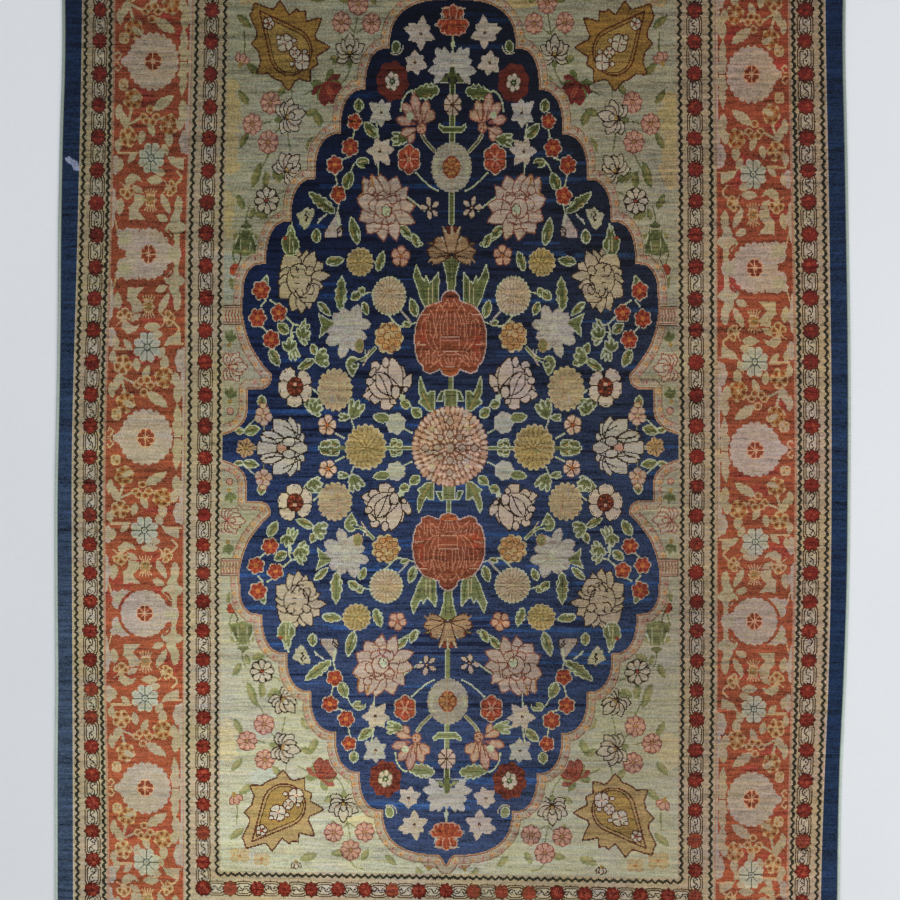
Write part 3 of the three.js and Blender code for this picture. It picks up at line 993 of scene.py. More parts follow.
def yellow_rosette(pen, size=1.0, n=13):
    """A gold flower with a lumpy pale rim and fine strokes about its middle."""
    r = np.random.default_rng(int(57 * size))
    n = int(n * 1.5)
    pen.fill(lobed(22.4 * size, n, 0.12, 21.4 * size, turn=8), "creamyel")
    pen.fill(lobed(20.6 * size, n, 0.13, 19.6 * size, turn=8), "olivegold")
    for ring, count in ((18.4, n), (13.2, n - 4), (8.2, n - 9), (3.6, 5)):
        for k in range(count):
            a = 2 * math.pi * (k + 0.5 + 0.3 * r.uniform()) / count
            reach_in = 3.4 + r.uniform(-0.5, 0.8)
            u, v = ring * size, (ring - reach_in) * size
            pen.line([(u * math.cos(a), 0.95 * u * math.sin(a)), (v * math.cos(a + 0.06), 0.95 * v * math.sin(a + 0.06))], "goldline")
            if r.uniform() < 0.4:
                b = a + math.pi / count
                pen.line([(u * math.cos(b), 0.95 * u * math.sin(b)), (v * math.cos(b), 0.95 * v * math.sin(b))], "goldlight")
    pen.dot(3 * size, 2 * size, 1.6, "olive")


def beige_rosette(pen):
    """A wide beige disc of small petals, drawn in tones close to its ground."""
    r = np.random.default_rng(12)
    pen.fill(lobed(17.6, 26, 0.08, 18.0), "celadon")
    pen.fill(lobed(16.2, 26, 0.08, 16.6), "straw")
    for ring, count, deep in ((16.0, 26, 4.2), (11.0, 18, 3.8), (6.4, 11, 3.4)):
        for k in range(count):
            a = 2 * math.pi * (k + 0.5) / count
            u, v = ring, ring - deep - r.uniform(0, 0.6)
            pen.line([(u * math.cos(a), u * math.sin(a)), (v * math.cos(a), v * math.sin(a))], "camel" if r.uniform() < 0.6 else "tan")
            if r.uniform() < 0.35:
                b = a + math.pi / count
                pen.line([((u - 0.6) * math.cos(b), (u - 0.6) * math.sin(b)), ((v + 1) * math.cos(b), (v + 1) * math.sin(b))], "ivorycream")
    for x, y in ((-6, 4.4), (3, 6), (5, -5), (-3, -7)):
        pen.line([(x - 1.6, y), (x + 1.8, y + 0.4)], "tanpink")
    pen.line([(0, 13), (0, 3)], "camel")


def streaked_rosette(pen):
    """A straw-coloured flower with a lobed rim and fine brown shading."""
    pen.fill(lobed(18.2, 17, 0.13, 20.2, turn=24), "creamyel")
    pen.fill(lobed(16.4, 17, 0.13, 18.4, turn=24), "strawgold")
    for y in (12.5, 9.5, 4.5, 1.5):
        pen.line([(14, y), (2, y + 0.4)], "tan")
    for y in (7, -2, -6):
        pen.line([(14, y), (4, y)], "creamyel")
    for k in range(17):
        a = 2 * math.pi * (k + 0.5) / 17
        pen.line([(16.0 * math.cos(a), 18.0 * math.sin(a)), (12.0 * math.cos(a), 13.6 * math.sin(a))], "camel" if k % 3 else "tan")
    for y, x in ((2.5, -13), (-1.5, -14), (-5, -13), (-9, -11)):
        pen.line([(-4, y), (x, y - 1.2)], "camelpale")
    pen.line([(-3.4, 6), (-3.4, -9)], "camel")
    pen.line([(-2.4, 10), (-5.6, 9), (-5.6, 4)], "rosepale")
    pen.line(smooth([(6, -3), (2.5, -1.4), (-1, -3.4), (-2.4, -7)], 3), "camel")
    pen.line([(3, -6), (3, -12)], "rosegrey", 2.0)
    pen.line([(10, -9), (6, -14)], "tan")
    pen.line([(-8, -11), (-6, -15)], "tan")


def scroll(pen):
    """A drop-shaped tendril rolled up on itself."""
    pen.fill(ellipse(6.6, 7.4, y=1.6), "celadon")
    pen.fill([(-5.6, 0), (5.6, 0), (3.4, -6), (-1, -10.5), (-3.6, -6)], "celadon")
    pen.fill(ellipse(5.2, 6.0, y=1.6), "green2")
    pen.fill([(-4, 0), (4, 0), (2.4, -5.4), (-1, -8.6), (-2.6, -5.4)], "green2")
    pen.line(smooth([(-4.6, 5.6), (-6.4, 2), (-5.0, -1.6), (-1.6, -2.4), (0.8, 0), (-0.6, 2.4), (-3, 1.6)], 4), "celadon", 1.2)
    pen.line([(-3.5, 3.4), (-7.5, 4.6)], "navy", 2.0)
    pen.line([(-3.0, -0.4), (-2, 0.4)], "green")


def diamond_flower(pen, r):
    """A rounded red flower, a little taller than wide, with a pale outline and heart."""
    pen.fill(lobed(r * 0.9, 6, 0.17, r * 1.02, turn=30), "cream")
    pen.fill(lobed(r * 0.82, 6, 0.16, r * 0.94, turn=30), "rust")
    for k in range(6):
        a = math.radians(60 * k)
        q, far = reach(pen, 0, 0, r * 0.72 * math.sin(a), r * 0.84 * math.cos(a))
        q.fill(petal(2.4, far, 2.7, 0.6, 0.1), "rust2")
        q.line([(0, 3.4), (0, far * 0.8)], "darkred")
        q.at(0, 0, 30).line([(0, 3), (0, far * 0.78)], "rosepale")
    pen.dot(0, 0, 2.2, "peach")
    pen.dot(0, 0, 1.0, "ochre")


def bud(pen, r=9.5):
    """A pale round bud held in a leaf; it grows along +y."""
    pen.shape(leaf(r * 1.7, 4.2), "green2", "celadon")
    pen.fill(lobed(r, 7, 0.14) + (0, r * 1.9), "mist")
    pen.fill(lobed(r - 2, 7, 0.1) + (0, r * 1.9), "mistgreen")


def paint_medallion(chart, rng):
    outline = medallion_outline()
    inside = Chart(chart.hx, chart.hy)
    inside.fill(outline, 1)
    mask = inside.grid.astype(bool)
    field = np.zeros_like(mask)
    fx, fy = int(round(chart.hx - FIELD_X)), int(round(chart.hy - FIELD_Y))
    field[fy:-fy, fx:-fx] = True
    mask &= field
    dist = grow(mask, 10)
    out = field & ~mask
    chart.grid[out & (dist <= 9)] = DYE["bandbeige"]
    chart.grid[out & (dist == 9)] = DYE["bandedge"]
    chart.grid[out & (dist <= 2)] = DYE["bandred"]
    chart.grid[out & (dist == 1)] = DYE["tan"]
    chart.grid[out & (dist == 3)] = DYE["cream"]
    chart.grid[mask] = DYE["navy"]
    # florets along the band
    chart.mask = out & (dist >= 4)
    path = medallion_edge()
    seg = np.hypot(*np.diff(path, axis=0).T)
    run = np.concatenate([[0], np.cumsum(seg)])
    total = run[-1]
    count = int(total / 8.6)
    for k in range(count):
        s = (k + 0.7) * total / count
        i = min(np.searchsorted(run, s) - 1, len(seg) - 1)
        t = (s - run[i]) / max(seg[i], 1e-6)
        p = path[i] + (path[i + 1] - path[i]) * t
        d = (path[i + 1] - path[i]) / max(seg[i], 1e-6)
        normal = np.array([-d[1], d[0]])
        at = p + normal * 6.2
        if at[0] > FIELD_X or at[1] > FIELD_Y:
            continue
        deg = math.degrees(math.atan2(normal[1], normal[0])) - 90
        for q in quarters(chart, rng, at[0], at[1], deg, 0.4, 6, 0.05):
            if k % 2:
                q.fill(lobed(2.7, 5, 0.2), "ochrepale")
                q.dot(0, 0.2, 0.9, "orange")
            else:
                q.fill(petal(-2.2, 2.6, 2.2, 0.6, 0.3), "pink")
                q.line([(0, -1), (0, 1.6)], "pinkdeep")
            q.line([(-4.2, 2.4), (-2.4, 0.4), (-4.0, -1.6)], "tan")
            q.line([(4.4, 1.6), (3.6, -1.8)], "bandpink", 1.4)
    chart.mask = mask

    Q = lambda x, y, deg=0.0, **k: quarters(chart, rng, x, y, deg, **k)

    # stems first, so that the blossoms lie over them
    for q in ends(chart, rng, 0):
        stem(q, [(0, 36), (0, 66)], "green2", "celadon", 3.4)
        q.shape([(-6, 33), (-6, 52), (6, 52), (6, 33)], "green2", "celadon")
        q.line([(-4, 47), (4, 47)], "green")
        q.line([(1, 50), (1, 36)], "olive")
        q.line([(-3, 44), (-3, 36)], "green")
        stem(q, [(0, 203), (0, 300)], "green2", "celadon", 3.6)
        stem(q, [(0, 318), (0, 334)], "green", "celadon", 4.2)
        stem(q, [(0, 360), (0, 373)], "celadon", "mist", 1.0)
        q.fill([(-2.6, 362), (2.6, 362), (1, 368), (-1, 368)], "celadon")
        q.shape([(-9.5, 172.5), (-7, 164), (-4.5, 155), (-3.6, 142), (3.6, 142), (4.5, 155), (7, 164), (9.5, 172.5)], "green2", "celadon")
        q.line([(-5, 162), (5, 162)], "olive")
        q.line([(-2, 146), (-2, 168)], "green")
        q.line([(2.4, 150), (3.4, 168)], "green")
        q.shape([(-14, 289), (-13, 292), (-9, 289.5), (9, 289.5), (13, 292), (14, 289), (9, 284), (-9, 284)], "green2", "celadon")
        q.line([(-8, 287), (8, 287)], "green")
    for p in Q(0, 0, shift=0, turn=0, size=0):
        stem(p, [(38, 0), (65, 0)], "green2", "celadon", 2.4)
        stem(p, [(104, 0), (130, 0)], "green2", "celadon", 3.0)
        green_leaf(p.at(47, 1.5, -52), 13, 3.4, 2)
        green_leaf(p.at(60, 1.5, 58), 9, 2.8, 0)
        green_leaf(p.at(110, 2, -58), 13, 3.6, 2)
        green_leaf(p.at(130, 1.5, 62), 12, 3.4, -2)
        stem(p, [(184, 0), (200, 0)], "tan", "cream", 2.0)
        stem(p, [(21, 128), (30, 116), (40, 112)], "green", "celadon", 1.6)
        stem(p, [(33, 30), (38, 36), (43, 42)], "green2", "celadon", 1.6)
        stem(p, [(14, 232), (22, 236), (36, 248)], "green2", "celadon", 1.4)
        stem(p, [(47, 228), (38, 222), (27, 214)], "green2", "celadon", 1.6)
        stem(p, [(52, 198), (44, 190), (30, 184)], "green2", "celadon", 1.8)
        stem(p, [(73, 240), (74, 258)], "celadon", "cream", 1.4)
        stem(p, [(74, 280), (76, 292)], "celadon", "cream", 1.4)
        stem(p, [(18, 268), (26, 276), (30, 282)], "green2", "cream", 2.0)
        stem(p, [(34, 318), (42, 322), (50, 314), (52, 304)], "celadon", "cream", 1.0)
        stem(p, [(100, 278), (98, 287)], "celadon", "cream", 1.2)
        stem(p, [(104, 262), (110, 260)], "celadon", "cream", 1.0)
        stem(p, [(117, 246), (115, 238)], "celadon", "cream", 1.2)
        stem(p, [(113, 220), (115, 212)], "celadon", "cream", 1.2)
        stem(p, [(186, 133), (190, 128)], "celadon", "cream", 1.2)
        stem(p, [(181, 133), (176, 130)], "celadon", "cream", 1.0)
        stem(p, [(189, 109), (184, 105)], "celadon", "cream", 1.2)
        stem(p, [(165, 118), (158, 112), (150, 111), (146, 116)], "celadon", "cream", 1.4)
        stem(p, [(158, 111), (160, 104), (160, 98)], "celadon", "cream", 1.2)
        stem(p, [(64, 122), (57, 114), (50, 110), (40, 112)], "celadon", "cream", 1.2)
        stem(p, [(76, 141), (84, 140), (92, 136)], "celadon", "cream", 1.4)
        stem(p, [(76, 90), (82, 84), (88, 80), (93, 79)], "green2", "celadon", 1.8)
        p.line([(82, 88), (84, 80), (88, 74)], "creamrose")
        p.line([(86, 88), (84, 82)], "celadon")
        stem(p, [(160, 106), (158, 100), (161, 92)], "green2", "celadon", 1.6)
        stem(p, [(153, 105), (160, 104)], "celadon", "cream", 1.2)
        stem(p, [(128, 44), (136, 52), (140, 55)], "celadon", "cream", 1.2)
        stem(p, [(38, 14), (47, 18)], "celadon", "cream", 1.2)
        stem(p, [(96, 19), (99, 28), (98, 36)], "celadon", "cream", 1.2)
        stem(p, [(106, 9), (114, 13)], "celadon", "cream", 1.2)

    # leaves
    LEAVES = [
        # x, y: where it starts; deg: its way; length, w, bend, teeth
        {"x": 162.5, "y": 103.7, "deg": -54, "length": 13.8, "w": 4.6, "bend": 0, "teeth": 0},
        {"x": 181.3, "y": 88.4, "deg": 149, "length": 17.9, "w": 4.8, "bend": 0, "teeth": 0},
        {"x": 134.1, "y": 84.8, "deg": -23, "length": 10.8, "w": 3.6, "bend": 0, "teeth": 0},
        {"x": 136.0, "y": 78.5, "deg": -104, "length": 18.6, "w": 4.0, "bend": 3, "teeth": 0},
        {"x": 133.7, "y": 131.7, "deg": 132, "length": 17.7, "w": 3.4, "bend": 0, "teeth": 0},
        {"x": 116.6, "y": 212.0, "deg": -50, "length": 32.1, "w": 5.8, "bend": 2, "teeth": 5},
        {"x": 93.3, "y": 302.2, "deg": -6, "length": 11.8, "w": 4.8, "bend": 0, "teeth": 0},
        {"x": 75.9, "y": 279.6, "deg": -46, "length": 18.3, "w": 4.6, "bend": 0, "teeth": 0},
        {"x": 107.7, "y": 232.7, "deg": 23, "length": 17.6, "w": 5.2, "bend": 0, "teeth": 0},
        {"x": 94.0, "y": 183.1, "deg": -10, "length": 25.6, "w": 5.0, "bend": 2, "teeth": 0},
        {"x": 51.9, "y": 200.2, "deg": 132, "length": 16.3, "w": 3.8, "bend": 0, "teeth": 0},
        {"x": 32.5, "y": 181.3, "deg": -26, "length": 14.0, "w": 3.6, "bend": 0, "teeth": 0},
        {"x": 34.0, "y": 118.2, "deg": -18, "length": 17.0, "w": 4.2, "bend": 0, "teeth": 0},
        {"x": 40.0, "y": 111.8, "deg": -77, "length": 8.3, "w": 2.8, "bend": 0, "teeth": 0},
        {"x": 135.4, "y": 184.9, "deg": 4, "length": 12.7, "w": 4.6, "bend": 0, "teeth": 0},
        {"x": 111.5, "y": 123.6, "deg": 1, "length": 31.6, "w": 6.2, "bend": 0, "teeth": 4},
        {"x": 39.3, "y": 38.8, "deg": -75, "length": 10.4, "w": 4.2, "bend": 0, "teeth": 0},
        {"x": 29.2, "y": 28.0, "deg": -54, "length": 12.4, "w": 4.6, "bend": 0, "teeth": 0},
        {"x": 207.2, "y": 15.3, "deg": -84, "length": 9.1, "w": 3.0, "bend": 0, "teeth": 0},
        {"x": 207.2, "y": 14.4, "deg": 80, "length": 16.2, "w": 4.4, "bend": 0, "teeth": 0},
        {"x": 73.6, "y": 160.5, "deg": 18, "length": 19.0, "w": 5.0, "bend": 0, "teeth": 4},
        {"x": 92.5, "y": 137.1, "deg": 34, "length": 8.8, "w": 3.8, "bend": 0, "teeth": 0},
        {"x": 91.5, "y": 140.7, "deg": -129, "length": 11.5, "w": 4.2, "bend": 0, "teeth": 0},
        {"x": 88.4, "y": 131.7, "deg": 156, "length": 12.8, "w": 3.6, "bend": 0, "teeth": 0},
        {"x": 126.1, "y": 167.8, "deg": 73, "length": 18.9, "w": 4.4, "bend": -2, "teeth": 0},
        {"x": 190.1, "y": 136.2, "deg": 16, "length": 20.7, "w": 4.4, "bend": 0, "teeth": 0},
        {"x": 187.5, "y": 36.1, "deg": -6, "length": 10.9, "w": 4.2, "bend": 0, "teeth": 0},
    ]
    HANDS = [
        # the same, for leaves that split into fingers
        {"x": 152.4, "y": 102.8, "deg": 36, "length": 13.4, "w": 4.6, "fingers": 2},
        {"x": 152.4, "y": 102.8, "deg": 112, "length": 12.0, "w": 6.6, "fingers": 3},
        {"x": 160.3, "y": 96.5, "deg": 163, "length": 17.9, "w": 5.0, "fingers": 3},
        {"x": 136.0, "y": 79.4, "deg": 74, "length": 13.5, "w": 8.6, "fingers": 3},
        {"x": 44.5, "y": 278.7, "deg": -93, "length": 17.2, "w": 6.0, "fingers": 3},
        {"x": 145.5, "y": 40.6, "deg": 107, "length": 18.9, "w": 7.4, "fingers": 3},
        {"x": 98.3, "y": 26.2, "deg": 23, "length": 17.6, "w": 8.0, "fingers": 3},
        {"x": 100.3, "y": 28.0, "deg": -95, "length": 11.0, "w": 3.4, "fingers": 2},
    ]
    for g in LEAVES:
        for q in Q(g["x"], g["y"], g["deg"]):
            green_leaf(q, g["length"], g["w"], g["bend"], g["teeth"])
    for g in HANDS:
        for q in Q(g["x"], g["y"], g["deg"]):
            hand_leaf(q, g["length"], g["w"], g["fingers"])
    for q in Q(0, 0, shift=0.3, turn=0, size=0):
        q.shape([(22, 34), (32, 41.5), (29, 45), (31, 48.7), (32, 54), (32, 60), (30, 64.5), (28, 60), (26, 54), (23, 48.7), (20, 51.6), (16, 51.6), (16, 34)], "green2", "celadon")
        q.line([(20, 36), (28, 50)], "gold2")
        q.line([(19, 38), (19, 48)], "green")
        q.shape([(26, 127), (31, 136), (33, 142.5), (35, 148), (38, 155), (35, 165.5), (30, 155), (27, 151), (25, 155.5), (22, 149), (19, 151), (13, 158.5), (12, 152), (13, 132), (21, 127)], "green2", "celadon")
        q.line([(19, 150), (19, 132)], "creamyel")
        q.line([(22.5, 145), (22.5, 131)], "creamyel")
        q.line([(31, 150), (27, 138)], "green")
        q.line([(15.5, 152), (16, 136)], "green")
        q.shape([(6.5, 52), (9, 52), (12, 47), (13.5, 43), (8, 43)], "deepgreen", "celadon")
        q.line(smooth([(40, 113), (45, 119), (50, 124)], 3), "lilac", 2.0)
        q.shape([(209.5, 12), (208, 16), (203, 21), (196, 26)], "celadon", None)
        q.line([(206, 17), (196, 26)], "celadon", 1.2)
    for q in Q(13, 322, -88):
        green_leaf(q, 27, 7.6, 2, 5)
    for x, y, deg in ((161, 86, -6), (149, 98, 8), (137, 30, 14)):
        for q in Q(x, y, deg):
            crown_leaf(q, 13, 6.5, 3)
    for q in Q(129, 111, 88):
        q.shape([(0, 16), (-7, 2), (-11, -3), (0, -1), (10, -4), (6, 3)], "green2", "celadon")
        q.line([(0, 1), (0, 12)], "green")
    for q in Q(89, 257, 0):
        q.shape(ellipse(6.2, 4.4), "green2", "celadon")
        q.line([(-3, 1.4), (4, 0.4)], "creamyel")
        q.fill([(-1, -1), (-6, -1), (-5, -5), (-2, -5)], "navy")
        q.line([(6, 1), (9, -2), (12, -8)], "celadon", 1.3)
    for q in Q(98.5, 74.5, 0):
        scroll(q)
    for q in Q(16, 388, -60):
        q.line(arc(7, 200, 340, 8), "cream", 1.4)
        q.line(arc(5.4, 200, 340, 8), "mist", 1.0)
    for q in Q(57, 362, 10):
        q.shape(ellipse(4, 5.4), "green2", "celadon")
        q.line(arc(7, 160, 300, 8), "cream")
    # blossoms
    chrysanthemum(Pen(chart).at(0, 0, 0, 1.0, 1.0))
    for q in ends(chart, rng, 104):
        urn_lotus(q)
    for q in ends(chart, rng, 175):
        fan_palmette(q)
    for q in ends(chart, rng, 253):
        cream_rosette(q)
    for q in ends(chart, rng, 309.5):
        cross_flower(q, 10)
    for q in ends(chart, rng, 344):
        cream_palmette(q)
    for q in ends(chart, rng, 384):
        tulip(q)
    for p in sides(chart, rng, 84):
        yellow_rosette(p)
    for p in sides(chart, rng, 160.5):
        side_bloom(p, rng)
    for p in sides(chart, rng, 205):
        small_flower(p, 9.5, "ochrepale", "tan", "gold", "brown", 6, "gold")
    for q in Q(66.5, 217, 0):
        peach_bloom(q)
    for q in Q(151, 151.5, 0):
        gold_bloom(q)
    for q in Q(62.5, 57, 0):
        lily(q)
    for q in Q(103.5, 106.5, 0):
        mist_lotus(q)
    for q in Q(62.5, 100, 0):
        trefoil(q)
    for q in Q(62.5, 137):
        beige_rosette(q)
    for q in Q(91.5, 168.5):
        yellow_rosette(q, 0.64, 10)
    for q in Q(115, 53, 0):
        streaked_rosette(q)
    for q in Q(155, 54.5, 0):
        white_bloom(q)
    for q in Q(51, 173.5, 6):
        petal_flower(q, 9.5, 5, "peach", "pinkbrown", "orange", 3.8, 1.3)
    for q in Q(21, 216, 0):
        for x0, y0, x1, y1, w in ((0, 1, 2.5, 10.5, 2.3), (2, 0, 10.5, 1.5, 2.3), (1.5, -1, -0.5, -9.5, 2.3), (-2, -1, -8, -6.5, 2.0), (-2, 1, -8.5, 5.5, 2.2)):
            t, far = reach(q, x0, y0, x1, y1)
            t.fill(petal(0, far, w + 0.9, 0.6, 0.3), "black")
            t.fill(petal(0.4, far, w, 0.6, 0.3), "peachcream")
        q.dot(0, 0, 2.0, "black")
        q.dot(0, 0, 0.9, "peach")
    for q in Q(43, 260, 0):
        diamond_flower(q, 13.8)
    for q in Q(36.5, 296.5, 0, turn=1.5):
        pink_palmette(q)
    for q in Q(61.5, 330):
        dark_rosette(q)
    for q in Q(32.5, 374.3, 0):
        star_points(q, ((-2, 15.5), (12, 8.5), (17, 4.5), (12, -6), (0, -15), (-13.5, -5), (-9, 7)), "starcream", "brown")
    for q in Q(38.3, 347.6, 0):
        star_points(q, ((1, 10.5), (9.5, 3), (8.5, -8), (-3, -11), (-12, -4), (-8, 5.5)), "starcream", "brown")
    for q in Q(71.5, 301.7, 0):
        star_points(q, ((11.5, 9.5), (-1, 12), (-10, 8), (-10, -6), (0, -12.5), (11, -8)), "mist", "brown")
    for q in Q(73, 267.5, 0):
        star_points(q, ((4, 12), (-9.5, 10.5), (-14.5, 2), (-10, -12), (4, -11.5), (13, 0.5)), "starcream", "brown")
    for x, y, r in ((98.5, 294.5, 8.2), (102, 270.5, 9.4), (118, 255.5, 9.4), (114, 228.5, 9.0), (190.3, 142, 9.5), (193, 117, 9.2), (173, 122.3, 8.8), (179.6, 98.3, 9.2)):
        for q in Q(x, y, 0, turn=25):
            small_flower(q, r, n=6 if r > 9 else 5)
    for q in Q(146, 207, 0):
        star_points(q, ((9, 3), (3, 6.5), (-1, 9.5), (-8, 8), (-6, 1), (-3, -6), (1, -10), (6, -6)), "creamceladon", "creamceladon")
        q.line([(-1, 6), (1, 3), (-2, 1), (1, -2), (-1, -2.4)], "black", 1.4)
        q.line([(-3, 4), (-4, 2)], "black")
    for q in Q(118.5, 199, 0):
        q.fill([(-4.5, 14), (-3, 12), (2, 5), (8, -3), (10.5, -9), (-6, -9), (-8, 0), (-6.5, 8)], "rosegrey")
        q.fill([(-4.5, 14), (-3, 12), (-4, 2), (-7, 0)], "celadon")
        q.line([(1.5, 5), (1.5, -6)], "straw")
        q.line([(6, -2), (4, -7)], "tan")
        q.shape([(-3, -3), (-7, 1), (-9, -3), (-8, -8), (-4, -9)], "rosegrey", "black")
        q.line([(-7, -2), (-4, -6)], "black")
        q.line([(9, -2), (9.5, -9)], "brown")
        q.line([(16, 4), (7, 12)], "celadon", 1.4)
        q.line([(15, 7), (8, 10)], "mist")
    for q in Q(161.5, 187, 0, shift=0.4):
        q.shape([(-1.5, 14), (-4, 9), (-4.5, 4), (-8, -1), (-8.5, -6), (-5, -10), (-4, -13), (4, -13), (8, -7), (8.5, -3), (9, 1), (5, 3), (3, 7), (1.5, 13)], "green2", "celadon")
        q.line([(1, 5), (1, -10)], "creamyel")
        q.line([(-2, 0), (-3, -10)], "celadon")
        q.line([(4, -2), (3, -9)], "green")
        q.line([(-5, -1), (-5, -6)], "green")
        q.fill(ellipse(2.4, 1.8, x=5.5, y=2.5), "rustbrown")
        q.line([(-2, 16), (0, 9)], "celadon", 1.6)
    for q in Q(122.3, 20.5, 0):
        q.fill(lobed(7.8, 5, 0.16, turn=12), "rosebrown")
        for k in range(5):
            t = q.at(0, 0, 72 * k + 12)
            t.fill(petal(1.6, 9.4, 3.9, 0.68, 0.0), "tan")
            t.fill(petal(2.2, 8.6, 3.3, 0.68, 0.0), "peachlight")
            t.line([(0, 3.0), (0, 5.6)], "orangepale")
            t.at(0, 0, 36).line([(0, 1.5), (0, 7.6)], "brown")
        q.dot(0, 0, 1.6, "orange2")
    for q in Q(187, 29.5, 0):
        q.fill(lobed(7.8, 5, 0.16, turn=30), "rosebrown")
        for k in range(5):
            t = q.at(0, 0, 72 * k + 30)
            t.fill(petal(1.6, 9.2, 3.8, 0.68, 0.0), "tan")
            t.fill(petal(2.2, 8.4, 3.2, 0.68, 0.0), "peachcream")
            t.line([(0, 3.0), (0, 5.6)], "rosepale")
        q.dot(0, 0, 1.6, "creamyel")
        q.at(0, 9.5).shape(ellipse(3.6, 2.6), "creamyel", "rosebrown")
        q.line([(0, -9), (0, -13)], "olive")
    for q in Q(54, 22.5, 0):
        q.fill(lobed(10, 7, 0.14), "mist")
        q.fill(lobed(7.6, 7, 0.1), "mistgreen")
        q.at(6, 3, -72).shape(leaf(17, 4.4, 2), "green2", "celadon")
        q.fill(lobed(7.6, 7, 0.1), "mistgreen")
        q.line([(-3, 3), (2, 4.4)], "cream")
        q.line([(-2, -2), (3, -3)], "mist")
    chart.mask = None
    return mask, dist


# ---- the field's corners ----
def field_leaf(pen, length, w, bend=0.0, tone="fieldleaf", warm="olive"):
    """A soft leaf on the pale ground: no outline, one side of it warmer."""
    pen.fill(leaf(length, w, bend, 3, 0.2), tone)
    pen.fill(leaf(length * 0.78, w * 0.5, bend * 0.7) + (w * 0.3, length * 0.06), warm)


def leaf_tuft(pen):
    """A full tuft of leaves: a cap, a middle leaf and two side leaves, parted by pale lines."""
    for s in (-1, 1):
        pen.fill([(s * 3, 9), (s * 6, 10.5), (s * 9, 2), (s * 12, -4), (s * 13.4, -11.5), (s * 9, -12.6), (s * 3, -13)], "fieldleaf")
        pen.fill([(s * 5.6, 7), (s * 8.2, 0), (s * 11.4, -8), (s * 8.4, -10), (s * 6, -3)], "deepolive")
        pen.line([(s * 5, 10.5), (s * 4.2, 4), (s * 5.0, -4), (s * 3.4, -12), (s * 5.4, -15)], "creamceladon")
        pen.fill([(s * 8, 8), (s * 13.5, 5), (s * 12, 0), (s * 9.5, 2)], "olive")
        pen.line([(s * 7.4, 5), (s * 10.5, -3)], "celadon", 1.0)
    pen.fill([(-4, 9.6), (4, 9.6), (4.6, 2), (4, -5), (5, -14), (-5, -14), (-4, -5), (-4.6, 2)], "fieldleaf")
    pen.fill([(-3.4, 8), (-1, 8), (0, 4), (1, 8), (3.4, 8), (2.6, 2), (0, 0), (-2.6, 2)], "deepolive")
    pen.fill([(-3, -5), (3, -5), (1.6, -11), (-1.6, -11)], "olive")
    pen.fill([(-6.4, 14.6), (-5, 11.8), (-2, 11), (0, 9.2), (2, 11), (5, 11.8), (6.4, 13.2), (3, 15), (0, 18.6), (-3, 15.4)], "deepolive")
    pen.line([(-4, 10.4), (4, 10.4)], "creamceladon")


def eight_flower(pen, r, fill="peach", edge="pinkdeep", cross="pinkdeep", heart="gold2", gap=1.0):
    """Eight separate petals, every one of them outlined."""
    for k in range(8):
        q = pen.at(0, 0, 45 * k)
        q.fill(petal(0.4, r, r * 0.37, 0.66, 0.0), edge)
    for k in range(8):
        q = pen.at(0, 0, 45 * k)
        q.fill(petal(2.0, r - gap, r * 0.205, 0.68, 0.0), fill)
    pen.dot(0, 0, 1.5, heart)


def line_palmette(pen, r, n=7, fill="cream", edge="black", spread=100, heart="gold2", calyx=True):
    """A blossom drawn in line: pointed petals in pairs and a spire, on a small green cup."""
    if calyx:
        pen.at(0, -r * 0.74).shape([(-r * 0.36, r * 0.3), (0, r * 0.1), (r * 0.36, r * 0.3), (r * 0.12, -r * 0.36), (-r * 0.12, -r * 0.36)], "fieldleaf", None)
    half = (n - 1) / 2
    base = pen.at(0, -r * 0.3)
    for k in sorted(range(n), key=lambda j: -abs(j - half)):
        o = (half - k) / half
        q = base.at(0, 0, o * spread)
        far = r * (1.36 - 0.34 * abs(o)) * (1.0 if k % 2 == int(half) % 2 else 0.84)
        q.shape(petal(-1, far, r * 0.34, 0.56, 0.75), fill, edge)
    for o in (-1, 1):
        base.at(0, 0, o * spread * 0.5).line([(0, r * 0.2), (0, r * 0.62)], "tan")
    base.shape(petal(-1, r * 0.6, r * 0.2, 0.6, 0.2), fill, edge)
    base.dot(0, r * 0.1, r * 0.12, heart)


def teardrop(cx, cy, r, tip, spikes=(), n=96, swell=0.0):
    """A paisley: a disc drawn out to a tip, with spikes round it given as angle, height and width."""
    out = []
    tx, ty = tip[0] - cx, tip[1] - cy
    reach_ = math.hypot(tx, ty)
    lean = math.atan2(ty, tx)
    open_ = math.acos(min(1.0, r / reach_))
    for k in range(n):
        a = 2 * math.pi * k / n
        off = (a - lean + math.pi) % (2 * math.pi) - math.pi
        if abs(off) < open_:
            # the straight flank between disc and tip, a little hollow
            d = r / math.cos(open_ - abs(off)) if abs(off) > 1e-6 else reach_
            d = min(d, reach_) * (1 - swell * math.sin(math.pi * abs(off) / open_))
        else:
            d = r
        for where, height, width in spikes:
            g = (math.degrees(a) - where + 180) % 360 - 180
            if abs(g) < width:
                d += height * (1 - abs(g) / width) ** 1.2
        out.append((cx + d * math.cos(a), cy + d * math.sin(a)))
    return np.array(out)


